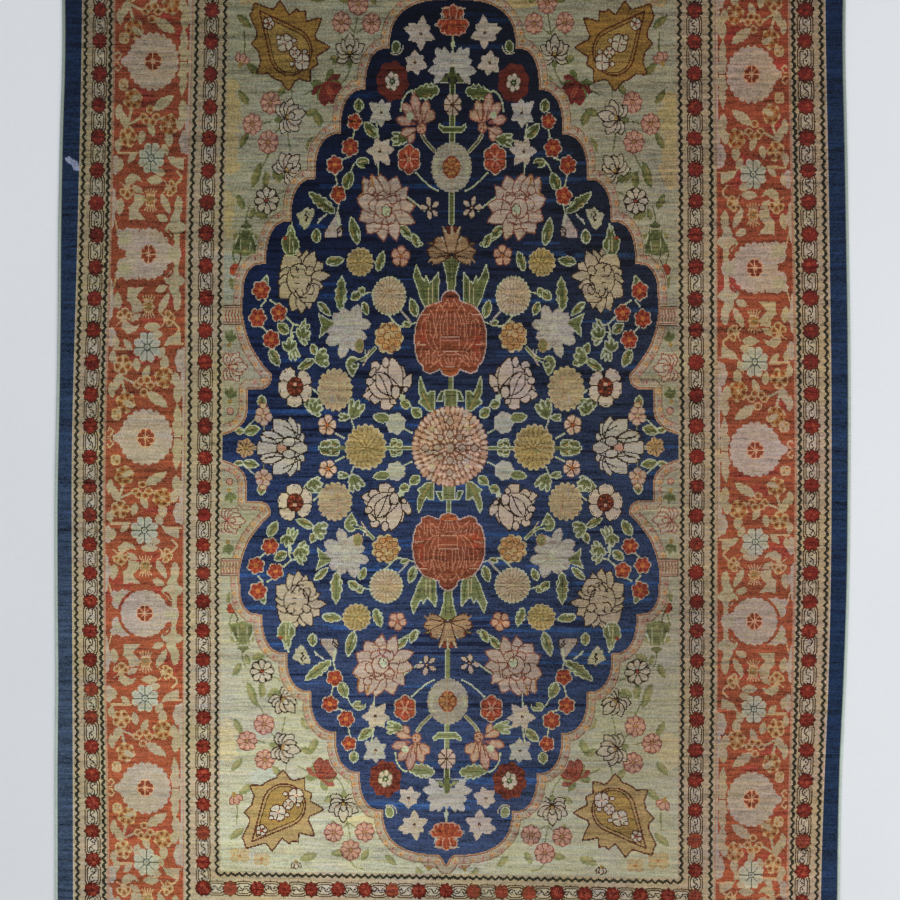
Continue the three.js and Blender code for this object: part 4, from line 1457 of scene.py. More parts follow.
def boteh(pen):
    """The gold paisley: a spiky rim round a drop with three florets in it."""
    spikes = ((78, 11, 13), (103, 8, 12), (38, 7, 11), (8, 7, 13), (325, 9, 13), (268, 8, 15), (232, 8, 14), (205, 4, 12), (178, 13, 15), (140, 14, 16), (116, 9, 11))
    rim = teardrop(167, 359.5, 29.5, (203, 401), spikes, 180)
    pen.shape(rim, "gold", "darkbrown")
    pen.loop(rim, "darkbrown", 1.5)
    pen.loop(teardrop(164.5, 357.5, 21.5, (196.5, 394)), "darkbrown", 1.5)
    pen.shape(teardrop(163.8, 356.8, 18.6, (192.5, 389)), "gold2", "brown")
    for x, y, r, n, turn in ((152.5, 348, 8.2, 4, 45), (160, 356.5, 5.6, 4, 0), (170.5, 365, 8.6, 4, 30)):
        p = pen.at(x, y, turn)
        for k in range(n):
            p.at(0, 0, 360 * k / n).shape(petal(0.4, r, r * 0.56, 0.62, 0.0), "ivory", "darkbrown")
        p.dot(0, 0, 1.5, "peach")
    for x, y in ((150, 357), (163, 346), (161, 367), (177, 370)):
        pen.shape(ellipse(2.6, 2.2, x=x, y=y), "ivory", "darkbrown")
    p = pen.at(187, 382.5, 20)
    for k in range(5):
        p.at(0, 0, 72 * k).shape(petal(0.8, 6.0, 2.6, 0.66, 0.0), "ivory", "darkbrown")
    p.dot(0, 0, 1.2, "rust")


def field_tulip(pen):
    """A dark red blossom with green outer petals."""
    for s in (-1, 1):
        for a, r in ((118, 15), (84, 17), (56, 17)):
            pen.at(0, -6, s * a).fill(petal(0, r, 3.6, 0.6, 0.9), "rosered" if a == 84 else "fieldleaf")
    for a, r in ((30, 21), (-30, 21), (0, 23)):
        pen.at(0, -7, a).shape(petal(0, r, 5.4, 0.62, 0.5), "rosered", "darkred")
    pen.fill(petal(-6, 9, 3, 0.6, 0.4), "rust")
    for x in (-1.6, 1.6):
        pen.line([(x, -3), (x, 8)], "rosebrown")


def pink_bud(pen, r=8, edge="pinkdeep", fill="peach"):
    for a in (38, -38, 0):
        pen.at(0, -r * 0.4, a).shape(petal(0, r * 1.25, r * 0.36, 0.6, 0.4), fill, edge)
    pen.fill(petal(-r * 0.8, 0, r * 0.28, 0.5, 0.4), "gold2")


def paint_field(chart, rng, mask, dist):
    """Flowers of the pale ground, painted only outside the medallion and its band."""
    field = np.zeros_like(mask)
    fx, fy = int(round(chart.hx - FIELD_X)), int(round(chart.hy - FIELD_Y))
    field[fy:-fy, fx:-fx] = True
    chart.mask = field & (dist > 10)
    Q = lambda x, y, deg=0.0, **k: quarters(chart, rng, x, y, deg, **k)
    # fine stems
    STEMS = [
        [(103, 346), (106, 336), (112, 328)],
        [(102, 368), (99, 380), (97, 392)],
        [(114, 384), (106, 380), (100, 374)],
        [(83, 383), (90, 379), (98, 374)],
        [(97, 410), (92, 417), (84, 419)],
        [(162, 317), (163, 325)],
        [(162, 294), (166, 284), (163, 268)],
        [(184, 312), (176, 306), (170, 300)],
        [(202, 293), (194, 292), (184, 294)],
        [(185, 277), (178, 284), (172, 292)],
        [(161, 243), (168, 232), (178, 228)],
        [(187, 235), (187, 244), (189, 250)],
        [(206, 200), (206, 210), (203, 218)],
        [(216, 165), (219, 176), (214, 184)],
        [(216, 155), (215, 146)],
        [(213, 350), (211, 362), (212, 376)],
        [(185, 265), (190, 256), (196, 246)],
        [(150, 318), (142, 322), (136, 324)],
    ]
    for path in STEMS:
        for q in Q(0, 0, shift=0.3, turn=0, size=0):
            q.line(smooth(path, 4), "fieldleaf", 1.4)
    for p in ((18, 420, 60), (34, 419, 0)):
        pass
    LEAVES = [
        {"x": 205, "y": 379, "deg": -42, "length": 19, "w": 4.4, "bend": 2},
        {"x": 196, "y": 337, "deg": -62, "length": 17, "w": 4.2, "bend": -2},
        {"x": 104, "y": 325, "deg": 48, "length": 17, "w": 4.6, "bend": 0},
        {"x": 132, "y": 290, "deg": -12, "length": 16, "w": 4.8, "bend": 2},
        {"x": 187, "y": 250, "deg": 168, "length": 16, "w": 4.4, "bend": -3},
        {"x": 202, "y": 234, "deg": 30, "length": 26, "w": 4.8, "bend": 3},
        {"x": 208, "y": 215, "deg": -28, "length": 16, "w": 4.0, "bend": 0},
        {"x": 184, "y": 206, "deg": -58, "length": 15, "w": 4.2, "bend": 2},
        {"x": 215, "y": 141, "deg": -24, "length": 15, "w": 3.6, "bend": 0},
        {"x": 78, "y": 400, "deg": -30, "length": 14, "w": 4.0, "bend": 0},
        {"x": 131, "y": 404, "deg": -58, "length": 19, "w": 5.2, "bend": 3},
        {"x": 102, "y": 404, "deg": -86, "length": 15, "w": 4.2, "bend": 0},
        {"x": 30, "y": 416, "deg": 12, "length": 15, "w": 4.2, "bend": -4},
        {"x": 62, "y": 406, "deg": 60, "length": 15, "w": 4.0, "bend": 2},
        {"x": 176, "y": 318, "deg": 40, "length": 14, "w": 3.8, "bend": 0},
        {"x": 148, "y": 300, "deg": 70, "length": 14, "w": 4.0, "bend": 0},
        {"x": 207, "y": 310, "deg": -30, "length": 17, "w": 4.0, "bend": 2},
        {"x": 214, "y": 270, "deg": 20, "length": 18, "w": 4.0, "bend": -2},
        {"x": 147, "y": 268, "deg": 30, "length": 15, "w": 4.2, "bend": 0},
        {"x": 172, "y": 240, "deg": -50, "length": 13, "w": 3.8, "bend": 0},
        {"x": 124, "y": 352, "deg": 110, "length": 14, "w": 3.8, "bend": 0},
        {"x": 116, "y": 372, "deg": 20, "length": 13, "w": 3.6, "bend": 0},
        {"x": 203, "y": 206, "deg": 20, "length": 12, "w": 3.2, "bend": 0},
        {"x": 222, "y": 128, "deg": 160, "length": 12, "w": 3.4, "bend": 0},
    ]
    for g in LEAVES:
        for q in Q(g["x"], g["y"], g["deg"]):
            field_leaf(q, g["length"], g["w"], g["bend"])
    for q in Q(206.5, 177, 0):
        leaf_tuft(q.at(0, 10.5))
    for q in Q(213.5, 350, 20):
        pink_bud(q, 8.5)
    for q in Q(17, 414, 170):
        pink_bud(q, 8)
    for q in Q(152, 415.5, 0):
        pink_bud(q, 6, "brown", "ivory")
    for x, y, k in ((208, 407, 1.0), (186, 411.5, 0.8)):
        for q in Q(x, y, 0, size=0.05):
            for dx, dy in ((-5, 3), (5, 3), (-5, -4), (5, -4)):
                q.shape(ellipse(4.3 * k, 3.4 * k, x=dx * k, y=dy * k), "creamyel", "ochrepale")
            q.dot(0, 0, 1.6, "ochre")
    for q in Q(216.5, 160, 180):
        q.fill([(0, 6.4), (-5, 3.4), (-5.6, -1.4), (-3.2, -4.8), (0, -5.2), (3.2, -4.8), (5.6, -1.4), (5, 3.4)], "rust")
        q.line([(0, 4), (0, -3)], "rust2")
        q.line([(2.4, -4), (5.4, -10), (5.0, -15)], "brown")
    for q in Q(216.5, 73, 90):
        line_palmette(q, 13, 9, "cream", "rosebrown", 112, "pink", False)
    for x, y in ((220.7, 95.6), (220.3, 44.2)):
        for q in Q(x, y, 10):
            crown_leaf(q, 12, 6, 3, "fieldleaf", None, "deepolive")
            q.dot(0, -2, 2.2, "gold2")
    for q in Q(220, 33, 0):
        q.dot(0, 0, 3.2, "peach")
        q.loop(ellipse(3.2), "pinkdeep")
    for q in Q(125.5, 324, 150):
        field_tulip(q)
    for x, y, r in ((114, 384, 10.2), (83, 383, 10.2), (96, 401, 11), (184, 312, 10.6), (202, 293, 10.6), (185, 276.5, 11)):
        for q in Q(x, y, 0, turn=8):
            eight_flower(q, r)
    for q in Q(186.8, 223, 0, turn=6):
        eight_flower(q, 13.0, "cream", "black", "cream", "rust")
    for x, y, r, deg in ((104, 359, 14.5, 0), (163, 299, 15, 78), (164, 253, 14.5, 40)):
        for q in Q(x, y, deg):
            line_palmette(q, r, 9, spread=118)
    for q in Q(0, 0, shift=0.5, turn=0, size=0.0):
        boteh(q)
    # the barred cartouches that tie the medallion to the side borders
    chart.mask = field & (dist > 2)
    for q in Q(216, 119.5, shift=0.4, turn=0, size=0):
        q.shape([(-14, -8.5), (12, -8.5), (12, 8.5), (-14, 8.5)], "bandpink", "brown")
        q.line([(-14, -6.5), (12, -6.5)], "pinkdeep")
        q.line([(-14, 6.5), (12, 6.5)], "pinkdeep")
        for k in range(7):
            x = -10 + k * 3.1
            q.line([(x, -5), (x + 1, 0), (x, 5)], "rustbrown")
    chart.mask = None


# ---- borders ----
# half sizes of the nested bands on the long sides; on the ends each is this much longer
END_STEP = 195.0
BANDS = [
    # each band's outer half width and its dye, from the edge inward
    {"x": 392.0, "dye": "edgeblue"},
    {"x": 378.0, "dye": "cream"},
    {"x": 376.7, "dye": "guard"},
    {"x": 345.6, "dye": "pinkline"},
    {"x": 344.2, "dye": "terra"},
    {"x": 266.4, "dye": "pinkline"},
    {"x": 265.2, "dye": "guard"},
    {"x": 229.2, "dye": "guard"},
    {"x": 227.5, "dye": "field"},
]
ZIGZAGS = [373.8, 348.9, 260.7, 231.7]
GUARDS = [359.6, 245.4]
MAIN = 304.6

GUARD_LEFT = -443.0  # the first rosette beside the photo's lower edge
GUARD_STEP = 28.9

# Where the main border's blossoms sit, along each long side. A is the round one with brackets,
# B the leafy one, C the small pale flower; the corners are finished with a B.
ANCHORS = {
    -1: [("B", -499.3), ("C", -415.3), ("A", -340.7), ("C", -250.3), ("B", -165.6), ("C", -82.4), ("A", 9.3), ("C", 90.8), ("B", 175.0), ("C", 261.7), ("A", 348.4), ("C", 424.0), ("B", 499.3)],
    1: [("B", -499.3), ("C", -418.0), ("A", -346.0), ("C", -259.0), ("B", -173.0), ("C", -94.0), ("A", -2.7), ("C", 77.6), ("B", 162.4), ("C", 247.1), ("A", 337.3), ("C", 418.5), ("B", 499.3)],
}
END_ANCHORS = [("B", -304.6), ("C", -226.0), ("A", -152.0), ("C", -76.0), ("B", 0.0), ("C", 76.0), ("A", 152.0), ("C", 226.0), ("B", 304.6)]


def side_pen(chart, s, x):
    """A frame that runs along a long side: +x outward, +y along the rug."""
    return Pen(chart, np.array([[s, 0, s * x], [0, 1, 0], [0, 0, 1.0]]))


def end_pen(chart, s, y):
    return Pen(chart, np.array([[0, 1, 0], [s, 0, s * y], [0, 0, 1.0]]))


def guard_rosette(pen, rng, turn=None):
    n = 8
    q = pen.at(0, 0, rng.uniform(0, 45) if turn is None else turn)
    size = rng.uniform(0.95, 1.04)
    q.fill(lobed(1, n, 0.22) * (8.4 * size, 8.1 * size), "guardline")
    q.fill(lobed(1, n, 0.22) * (7.5 * size, 7.2 * size), "guardred" if rng.random() < 0.74 else "maroon")
    for k in range(n):
        q.at(0, 0, 45 * k + 22).line([(0, 2.5), (0, 6.5 if rng.random() < 0.5 else 4.5)], "darkred")
        if rng.random() < 0.35:
            q.at(0, 0, 45 * k).line([(0, 3), (0, 5)], "rust")
    if rng.random() < 0.7:
        q.dot(rng.uniform(-2, 2), rng.uniform(-3, 3), 1.7, "rust")
        q.dot(rng.uniform(-3, 3), rng.uniform(-3, 3), 1.2, "darkred")


def guard_panel(pen, rng, half, flip):
    """The panel between two rosettes: two fine lines on each side and a scroll."""
    h = half - 6.4
    pen.fill([(-4.4, -h + 1), (4.4, -h + 1), (4.8, 0), (4.4, h - 1), (-4.4, h - 1), (-4.8, 0)], "cream")
    for s in (-1, 1):
        pen.line([(s * 5.2, -h - 1.5), (s * 7.0, -h + 1.5), (s * 7.4, 0), (s * 7.0, h - 1.5), (s * 5.2, h + 1.5)], "guardline", 1.3)
        pen.line([(s * 3.4, -h + 0.5), (s * 4.8, -h + 3), (s * 5.0, 0), (s * 4.8, h - 3), (s * 3.4, h - 0.5)], "guardline", 1.3)
    q = pen.at(0, 0, rng.uniform(-6, 6), flip, 1.0)
    q.line(smooth([(2.4, h - 3.2), (0.5, h - 1.0), (-2.0, h - 2.6), (-1.8, 1.4), (1.8, -1.2), (2.2, -h + 2.8), (0.0, -h + 1.2), (-2.3, -h + 3.4)], 4), "black", 1.3)
    q.line([(-0.4, 2.4), (0.8, 3.6)], "black")
    q.line([(0.4, -2.4), (-0.8, -3.4)], "black")


def guard_run(pen, rng, spots):
    for a, b in zip(spots[:-1], spots[1:]):
        mid, half = (a + b) / 2, (b - a) / 2
        guard_panel(pen.at(0, mid), rng, half, 1 if rng.random() < 0.5 else -1)
    for y in spots:
        guard_rosette(pen.at(rng.uniform(-0.5, 0.5), y), rng)


def spread(first, last, step):
    n = max(1, int(round(abs(last - first) / step)))
    return list(np.linspace(first, last, n + 1))


def paint_guards(chart, rng):
    for x in GUARDS:
        y = x + END_STEP
        for s in (1, -1):
            mid = [GUARD_LEFT + GUARD_STEP * i + rng.uniform(-0.8, 0.8) for i in range(30)]
            mid = [m for m in mid if abs(m) < y - 22]
            lo, hi = spread(-y, mid[0], GUARD_STEP)[:-1], spread(mid[-1], y, GUARD_STEP)[1:]
            guard_run(side_pen(chart, s, x), rng, lo + mid + hi)
            guard_run(end_pen(chart, s, y), rng, spread(-x, x, 27.4))


def zig(pen, rng, half, period=7.5):
    n = int(round(2 * half / period)) * 2
    ys = np.linspace(-half, half, n + 1)
    pts = [(1.35 if k % 2 else -1.35, y) for k, y in enumerate(ys)]
    pen.line(pts, "zig", 2.4)


def paint_zigzags(chart, rng):
    for x in ZIGZAGS:
        for s in (1, -1):
            zig(side_pen(chart, s, x), rng, x + END_STEP)
            zig(end_pen(chart, s, x + END_STEP), rng, x)


def ochre_flower(pen, r=9.8, n=5):
    """A round floret of cells, each with an ochre spot, in a pale outline."""
    pen.fill(lobed(r, n, 0.24, turn=18), "yelline")
    for k in range(n):
        q = pen.at(0, 0, 360 * k / n + 18)
        q.fill(petal(1.8, r - 1.3, r * 0.33, 0.66, 0.0), "ochre")
        q.fill(petal(r * 0.4, r - 2.6, r * 0.16, 0.6, 0.0), "rustbrown")
    pen.dot(0, 0, 1.6, "yelline")


def burst_flower(pen, r=9):
    """An ochre heart between two combs of pale strokes."""
    pen.fill(lobed(r * 0.66, 8, 0.24, r * 0.56), "yelline")
    pen.fill(lobed(r * 0.52, 8, 0.24, r * 0.42), "ochre")
    for s in (-1, 1):
        for k in range(-2, 3):
            pen.line([(k * 1.7, s * r * 0.5), (k * 3.2, s * r * (1.05 - 0.06 * abs(k)))], "yelline", 1.2)
    pen.line([(-r * 0.62, 0), (-r * 0.3, 0)], "yelline")
    pen.line([(r * 0.3, 0), (r * 0.62, 0)], "yelline")
    pen.dot(0, 0, 1.4, "olive")


def side_flower(pen, r=9):
    """A floret half turned away: three cells, a bud and two pale strokes."""
    for a, k in ((-58, 0.94), (58, 0.94), (0, 1.06)):
        q = pen.at(0, -r * 0.2, a)
        q.fill(petal(0, r * k, r * 0.46, 0.66, 0.1), "yelline")
        q.fill(petal(2, r * k - 1.6, r * 0.3, 0.66, 0.1), "ochre")
        q.fill(petal(r * 0.4, r * k - 3, r * 0.14, 0.6, 0.0), "rustbrown")
    pen.at(0, -r * 0.3).fill(lobed(r * 0.36, 5, 0.2), "yelline")
    for s in (-1, 1):
        pen.line([(s * r * 0.2, -r * 0.4), (s * r * 0.7, -r * 0.9)], "yelline")


def pale_leaf(pen, length, w, bend=0.0, notched=True):
    pen.fill(leaf(length, w, bend, 3 if notched else 0, 0.22), "borderleaf")
    pen.fill(leaf(length * 0.6, w * 0.5, bend * 0.5) + (0, length * 0.12), "borderleaf2")


def star_leaf(pen, r=11):
    """A pale leaf with four unequal points."""
    for a, k, w in ((0, 1.25, 0.42), (100, 0.9, 0.4), (-88, 1.0, 0.4), (180, 0.95, 0.44)):
        pen.at(0, 0, a).fill(petal(0, r * k, r * w, 0.42, 0.9), "leafgreen")
    pen.fill(ellipse(r * 0.5), "leafgreen")
    pen.fill(ellipse(r * 0.3, r * 0.5), "borderleaf2")


def border_heart(pen, r=8.4):
    pen.dot(0, 0, r + 0.6, "heartpeach")
    for k in range(8):
        q = pen.at(0, 0, 22.5 + 45 * k)
        q.fill(petal(1.4, r, 2.3, 0.7, 0.1), "rustbrown")
    for k in range(4):
        pen.at(0, 0, 90 * k).line([(0, 0), (0, r)], "heartpeach")


def scallops(pen, rx, ry, n, dye, depth=0.1, turn=0.0):
    """A disc whose rim is cut into small round scallops."""
    pen.fill(lobed(rx, n, depth, ry, turn), dye)


def blossom_a(pen):
    """The round blossom with brackets and leaves on its sides."""
    scallops(pen, 27.4, 26.6, 22, "greylilac", 0.09)
    for k in range(11):
        pen.at(0, 0, 360 * k / 11 + 8).fill(petal(12, 22, 2.6, 0.7, 0.2), "greylilac2")
    pen.fill([(24, -7), (33, -2.2), (33, 2.2), (24, 7)], "greylilac")
    for s in (-1, 1):
        pen.line(smooth([(35.5, s * 2), (33, s * 5.5), (36.5, s * 8.5), (38, s * 6)], 4), "yelline", 1.6)
        pen.line([(35, s * 1.2), (38, s * 1.2)], "yelline")
        for q in (pen.at(30, s * 21.0),):
            q.fill(lobed(5.8, 4, 0.14, turn=45), "yelline")
            q.fill([(-3, -3), (-0.6, -3), (-0.6, -0.6), (-3, -0.6)], "ochre")
            q.fill([(0.8, 0.8), (3.2, 0.8), (3.2, 3.2), (0.8, 3.2)], "ochre")
            q.fill([(0.8, -3), (3.2, -3), (3.2, -0.6), (0.8, -0.6)], "borderleaf2")
            q.fill([(-3, 0.8), (-0.6, 0.8), (-0.6, 3.2), (-3, 3.2)], "borderleaf2")
        pen.at(-31, s * 4, 0, 1, s).fill([(5, -6), (3, 1), (5.5, 8), (2.5, 12), (4, 17), (0.5, 28), (-3.5, 20), (-5, 12), (-3.5, 8), (-7, 4), (-7, -6)], "borderleaf")
        pen.at(-31, s * 4, 0, 1, s).fill([(2, -3), (1.5, 8), (1.5, 16), (0, 22), (-2.5, 12), (-4, 2)], "borderleaf2")
    pen.line([(-27, 0), (-36, 0)], "darkred")
    pen.line([(-27.5, -2), (-27.5, 2)], "darkred")
    pen.line([(-35.5, -2), (-35.5, 2)], "darkred")
    border_heart(pen)


def blossom_b(pen, corner=False, apart=False):
    """The leafy blossom: a round heart with two lobes outward and leaves at its inner corners."""
    scallops(pen, 24.6, 23.8, 20, "greylilac", 0.1)
    for k in range(10):
        pen.at(0, 0, 36 * k + 8).fill(petal(11, 20, 2.4, 0.7, 0.2), "greylilac2")
    arms = ((1, 1), (1, -1), (-1, 1), (-1, -1)) if corner else ((1, 1), (1, -1))
    for a, s in arms:
        q = pen.at(a * 20, s * 14, 0, a, s)
        q.fill([(-7, -14), (4, -11), (11, -9), (13.5, -4), (12, 0.5), (15, 4), (12, 9), (7.5, 7), (3, 10), (-3, 8.5), (-10, 9)], "greylilac")
        q.fill(lobed(7.4, 5, 0.16, 6.2) + (4.5, 0), "leafgreen")
    if apart:
        pen.fill(ellipse(27.6, 26.4), "terra")
        scallops(pen, 24.6, 23.8, 20, "greylilac", 0.06)
        for k in range(10):
            pen.at(0, 0, 36 * k + 8).fill(petal(11, 20, 2.4, 0.7, 0.2), "greylilac2")
    if not corner:
        pen.fill([(-17, -9), (-33, -6), (-35, 0), (-33, 6), (-17, 9)], "greylilac")
        pen.fill([(-21, -5), (-31, -4), (-33.6, 0), (-31, 4), (-21, 5)], "leafgreen")
        for s in (-1, 1):
            q = pen.at(-27.5, s * 24, 0, -1, s)
            star_leaf(q.at(0, 0, 0), 12.5)
            q.fill([(-1, -18), (5, -18), (4.5, -8), (2, -4)], "borderleaf")
            pen.line(arc(7, 100 if s > 0 else 190, 170 if s > 0 else 260, 6, x=-20 + 1, y=s * 14), "terra", 2.4)
    pen.dot(0, 0, 9.5, "greylilac")
    border_heart(pen, 8.2)


def blossom_c(pen, r=13.6):
    """The small pale flower of eight petals, with a dark cross and a ringed heart."""
    for k in range(8):
        q = pen.at(0, 0, 45 * k + 22.5)
        q.fill(petal(0.6, r + 1.0, r * 0.285, 0.72, 0.15), "paleblue")
        q.fill(petal(r * 0.5, r - 1.6, r * 0.12, 0.6, 0.0), "mistgreen")
    for k in range(4):
        pen.at(0, 0, 90 * k).line([(0, 2.4), (0, r * 0.9)], "tealdark")
        pen.at(0, 0, 90 * k + 45).line([(0, 3.4), (0, r * 0.62)], "teal")
    pen.shape(ellipse(3.0, 3.0), "paleblue", "tealdark")
    pen.dot(0, 0, 1.0, "teal")


def half_rosette(pen, r, dye="greylilac"):
    """A rosette cut by the border's edge."""
    pen.fill(lobed(r, 7, 0.14, r * 1.5), dye)
    pen.dot(0, 0, r * 0.42, "greylilac2", r * 0.8)


def cluster_one(pen):
    """From A (0) to C (86.5): ochre florets on pale stems."""
    for path, w in (
        ([(21, 42), (25, 56), (25, 62)], 2.6),
        ([(25, 57), (14, 52), (6, 49)], 2.2),
        ([(-3, 49), (-10, 52), (-16, 54)], 2.0),
        ([(27, 60), (34, 72), (34.5, 80)], 2.2),
    ):
        pen.line(smooth(path, 4), "borderleaf", w)
    pale_leaf(pen.at(-1, 44, 128), 25, 5.6, 2)
    pale_leaf(pen.at(27, 60, 198), 17, 4.0, 0, False)
    pale_leaf(pen.at(-18, 64, 4), 13, 4.6, 0, False)
    pale_leaf(pen.at(3, 55, 24), 14, 3.6, 0, False)
    ochre_flower(pen.at(20.5, 34.3), 10.2, 6)
    ochre_flower(pen.at(-17.8, 56.7), 10.2, 6)
    ochre_flower(pen.at(24.5, 68.0, 20), 9.8, 5)
    for dx, dy in ((6.2, 2.6), (-0.4, -4.4), (-6.6, 2.4), (3.0, 6.0), (-3.4, 7.0)):
        q = pen.at(2.6 + dx, 47.6 + dy)
        q.shape(ellipse(3.7, 3.3), "ochre", "yelline")
        q.fill(ellipse(1.6, 1.4), "rustbrown")
    pen.line([(34, 82.5), (15, 82)], "yelline", 2.4)
    pale_leaf(pen.at(16, 82, -42), 12, 3.2, 0, False)
    pen.at(-25, 92, 90).fill([(6, 9), (-5, 10), (-7, -8), (0, -4), (3, 2)], "borderleaf")
    pen.line([(-26, 87), (-37, 87)], "yelline", 1.4)
    pale_leaf(pen.at(-31, 34, 4), 22, 5.6, -2)
    pale_leaf(pen.at(-29, 62, 176), 14, 4.0, 0, False)
    pale_leaf(pen.at(34, 38, -6), 15, 3.6, 0, False)
    pale_leaf(pen.at(9, 62, -12), 13, 3.8, 0, False)
    pale_leaf(pen.at(12, 30, -64), 12, 3.0, 0, False)
    pale_leaf(pen.at(36, 70, 10), 12, 3.4, 0, False)
    pale_leaf(pen.at(-12, 74, 28), 12, 3.6, 0, False)
    half_rosette(pen.at(37.5, 93), 6)
    half_rosette(pen.at(-36.5, 72), 8.0)
    half_rosette(pen.at(-37.5, 57), 3.4)
    pen.fill([(-36, 0), (-39, 0), (-39, 60), (-37, 60), (-37, 24)], "greylilac")


def cluster_two(pen):
    """From C (86.5) to B (172.3): barred florets, combs of strokes and broad leaves."""
    pen.line(smooth([(-28, 98), (-33, 104), (-27, 110)], 4), "yelline", 2.2)
    pen.fill([(8, 108), (12, 102), (20, 99.5), (27, 105), (25, 112), (18, 109), (14, 106)], "borderleaf")
    pen.fill([(15, 104), (20, 102), (23, 107), (19, 108)], "borderleaf2")
    pen.fill(petal(-9, 9, 4.2, 0.5, 0.6)[:, ::-1] + (-5, 106), "borderleaf")
    side_flower(pen.at(24, 115.5, 6), 9.5)
    pen.fill([(18, 110), (10, 112), (6, 118), (14, 118)], "borderleaf2")
    side_flower(pen.at(-21.5, 113.5, 80), 8.8)
    pen.fill([(16, 118), (5, 120), (6, 127), (12, 133), (4, 142), (14, 141), (21, 142), (22, 130), (17, 126)], "borderleaf")
    pen.fill([(13, 122), (9, 124), (14, 131), (12, 138), (18, 137), (18, 129)], "borderleaf2")
    pale_leaf(pen.at(-12.5, 118, 178 + 200), 21, 4.4, -3)
    pale_leaf(pen.at(-30, 120, 10), 20, 5.0, 2)
    pale_leaf(pen.at(-16, 100, -100), 13, 3.6, 0, False)
    pale_leaf(pen.at(30, 122, -8), 16, 4.2, 0, False)
    pale_leaf(pen.at(-8, 138, 70), 13, 3.6, 0, False)
    pale_leaf(pen.at(33, 98, 170), 12, 3.4, 0, False)
    burst_flower(pen.at(-1, 124), 10)
    half_rosette(pen.at(37.5, 128), 4.6, "greylilac")
    pen.fill([(36, 116), (39, 112), (39, 150), (37, 146)], "greylilac")
    pen.line([(36, 142), (33.5, 152)], "yelline", 1.6)


def unit(pen, y0, y1, y2, flip):
    """One half repeat: from A at y0 over C at y1 to B at y2."""
    s = 1 if y2 > y0 else -1

    class Along(Pen):
        pass

    k1, k2 = abs(y1 - y0) / 86.5, abs(y2 - y1) / 85.8
    a = pen.at(0, y0, 0, 1, s * (0.5 + 0.5 * k1))
    a = pen.at(0, y0 + s * (k1 - 1) * 40, 0, 1, s)
    cluster_one(a)
    b = pen.at(0, y2 - s * 172.3 - s * (k2 - 1) * 30, 0, 1, s)
    cluster_two(b)


def paint_main(chart, rng):
    runs = [(side_pen(chart, s, MAIN), ANCHORS[s]) for s in (1, -1)]
    runs += [(end_pen(chart, s, MAIN + END_STEP), END_ANCHORS) for s in (1, -1)]
    band = np.zeros_like(chart.grid, bool)
    o = (int(round(chart.hx - 344.2)), int(round(chart.hy - 344.2 - END_STEP)))
    i = (int(round(chart.hx - 266.4)), int(round(chart.hy - 266.4 - END_STEP)))
    band[o[1]:-o[1], o[0]:-o[0]] = True
    band[i[1]:-i[1], i[0]:-i[0]] = False
    chart.mask = band
    for pen, anchors in runs:
        for k in range(0, len(anchors) - 2, 2):
            (n0, y0), (_, y1), (n2, y2) = anchors[k : k + 3]
            if n0 == "B":
                y0, y2 = y2, y0
            unit(pen, y0, y1, y2, 1)
        for n, y in anchors:
            q = pen.at(rng.uniform(-0.6, 0.6), y, rng.uniform(-2, 2))
            if n == "C":
                blossom_c(q)
        for n, y in anchors:
            q = pen.at(rng.uniform(-0.6, 0.6), y, rng.uniform(-1.5, 1.5))
            if n == "A":
                blossom_a(q)
            elif n == "B":
                blossom_b(q, abs(y) > 300 and abs(y) < 310 or abs(y) > 490, -300 < y < -100)
    chart.mask = None


def paint_bands(chart):
    for b in BANDS:
        x = int(round(chart.hx - b["x"]))
        y = int(round(chart.hy - b["x"] - END_STEP))
        chart.grid[y : 2 * chart.hy - y, x : 2 * chart.hx - x] = DYE[b["dye"]]


def aged_patch(chart, rng, x0, x1, y0, y1, dye, ground="field"):
    """Rows of the plain ground in the dye of another hank, ending raggedly."""
    a, b = 0.0, 0.0
    for y in range(y0, y1):
        if rng.uniform() < 0.35:
            a, b = rng.uniform(-4, 4), rng.uniform(-4, 4)
        fade = min(1.0, (y - y0 + 2) / 8, (y1 - y + 1) / 8) if y1 - y0 > 8 else 1.0
        mid = 0.5 * (x0 + x1)
        c0 = int(round(mid + (x0 + a - mid) * fade + chart.hx))
        c1 = int(round(mid + (x1 + b - mid) * fade + chart.hx))
        row = chart.grid[y + chart.hy, c0:c1]
        row[row == DYE[ground]] = DYE[dye]


# patches where the ground has turned yellower or greener, and a pale scuff on the blue edge
PATCHES = [
    (-231, -216, 246, 334, "fieldwarm"), (213, 231, 232, 322, "fieldwarm"), (-231, -219, 188, 232, "fieldwarm"), (-230, -213, -316, -270, "fieldwarm"),
    (208, 230, -318, -282, "fieldwarm"), (-112, -50, -380, -366, "fieldwarm"), (40, 96, 396, 406, "fieldwarm"),
    (-231, -214, 130, 176, "fieldcool"), (-160, -140, 300, 352, "fieldcool"), (140, 170, 330, 372, "fieldcool"), (-196, -168, -352, -318, "fieldcool"),
]


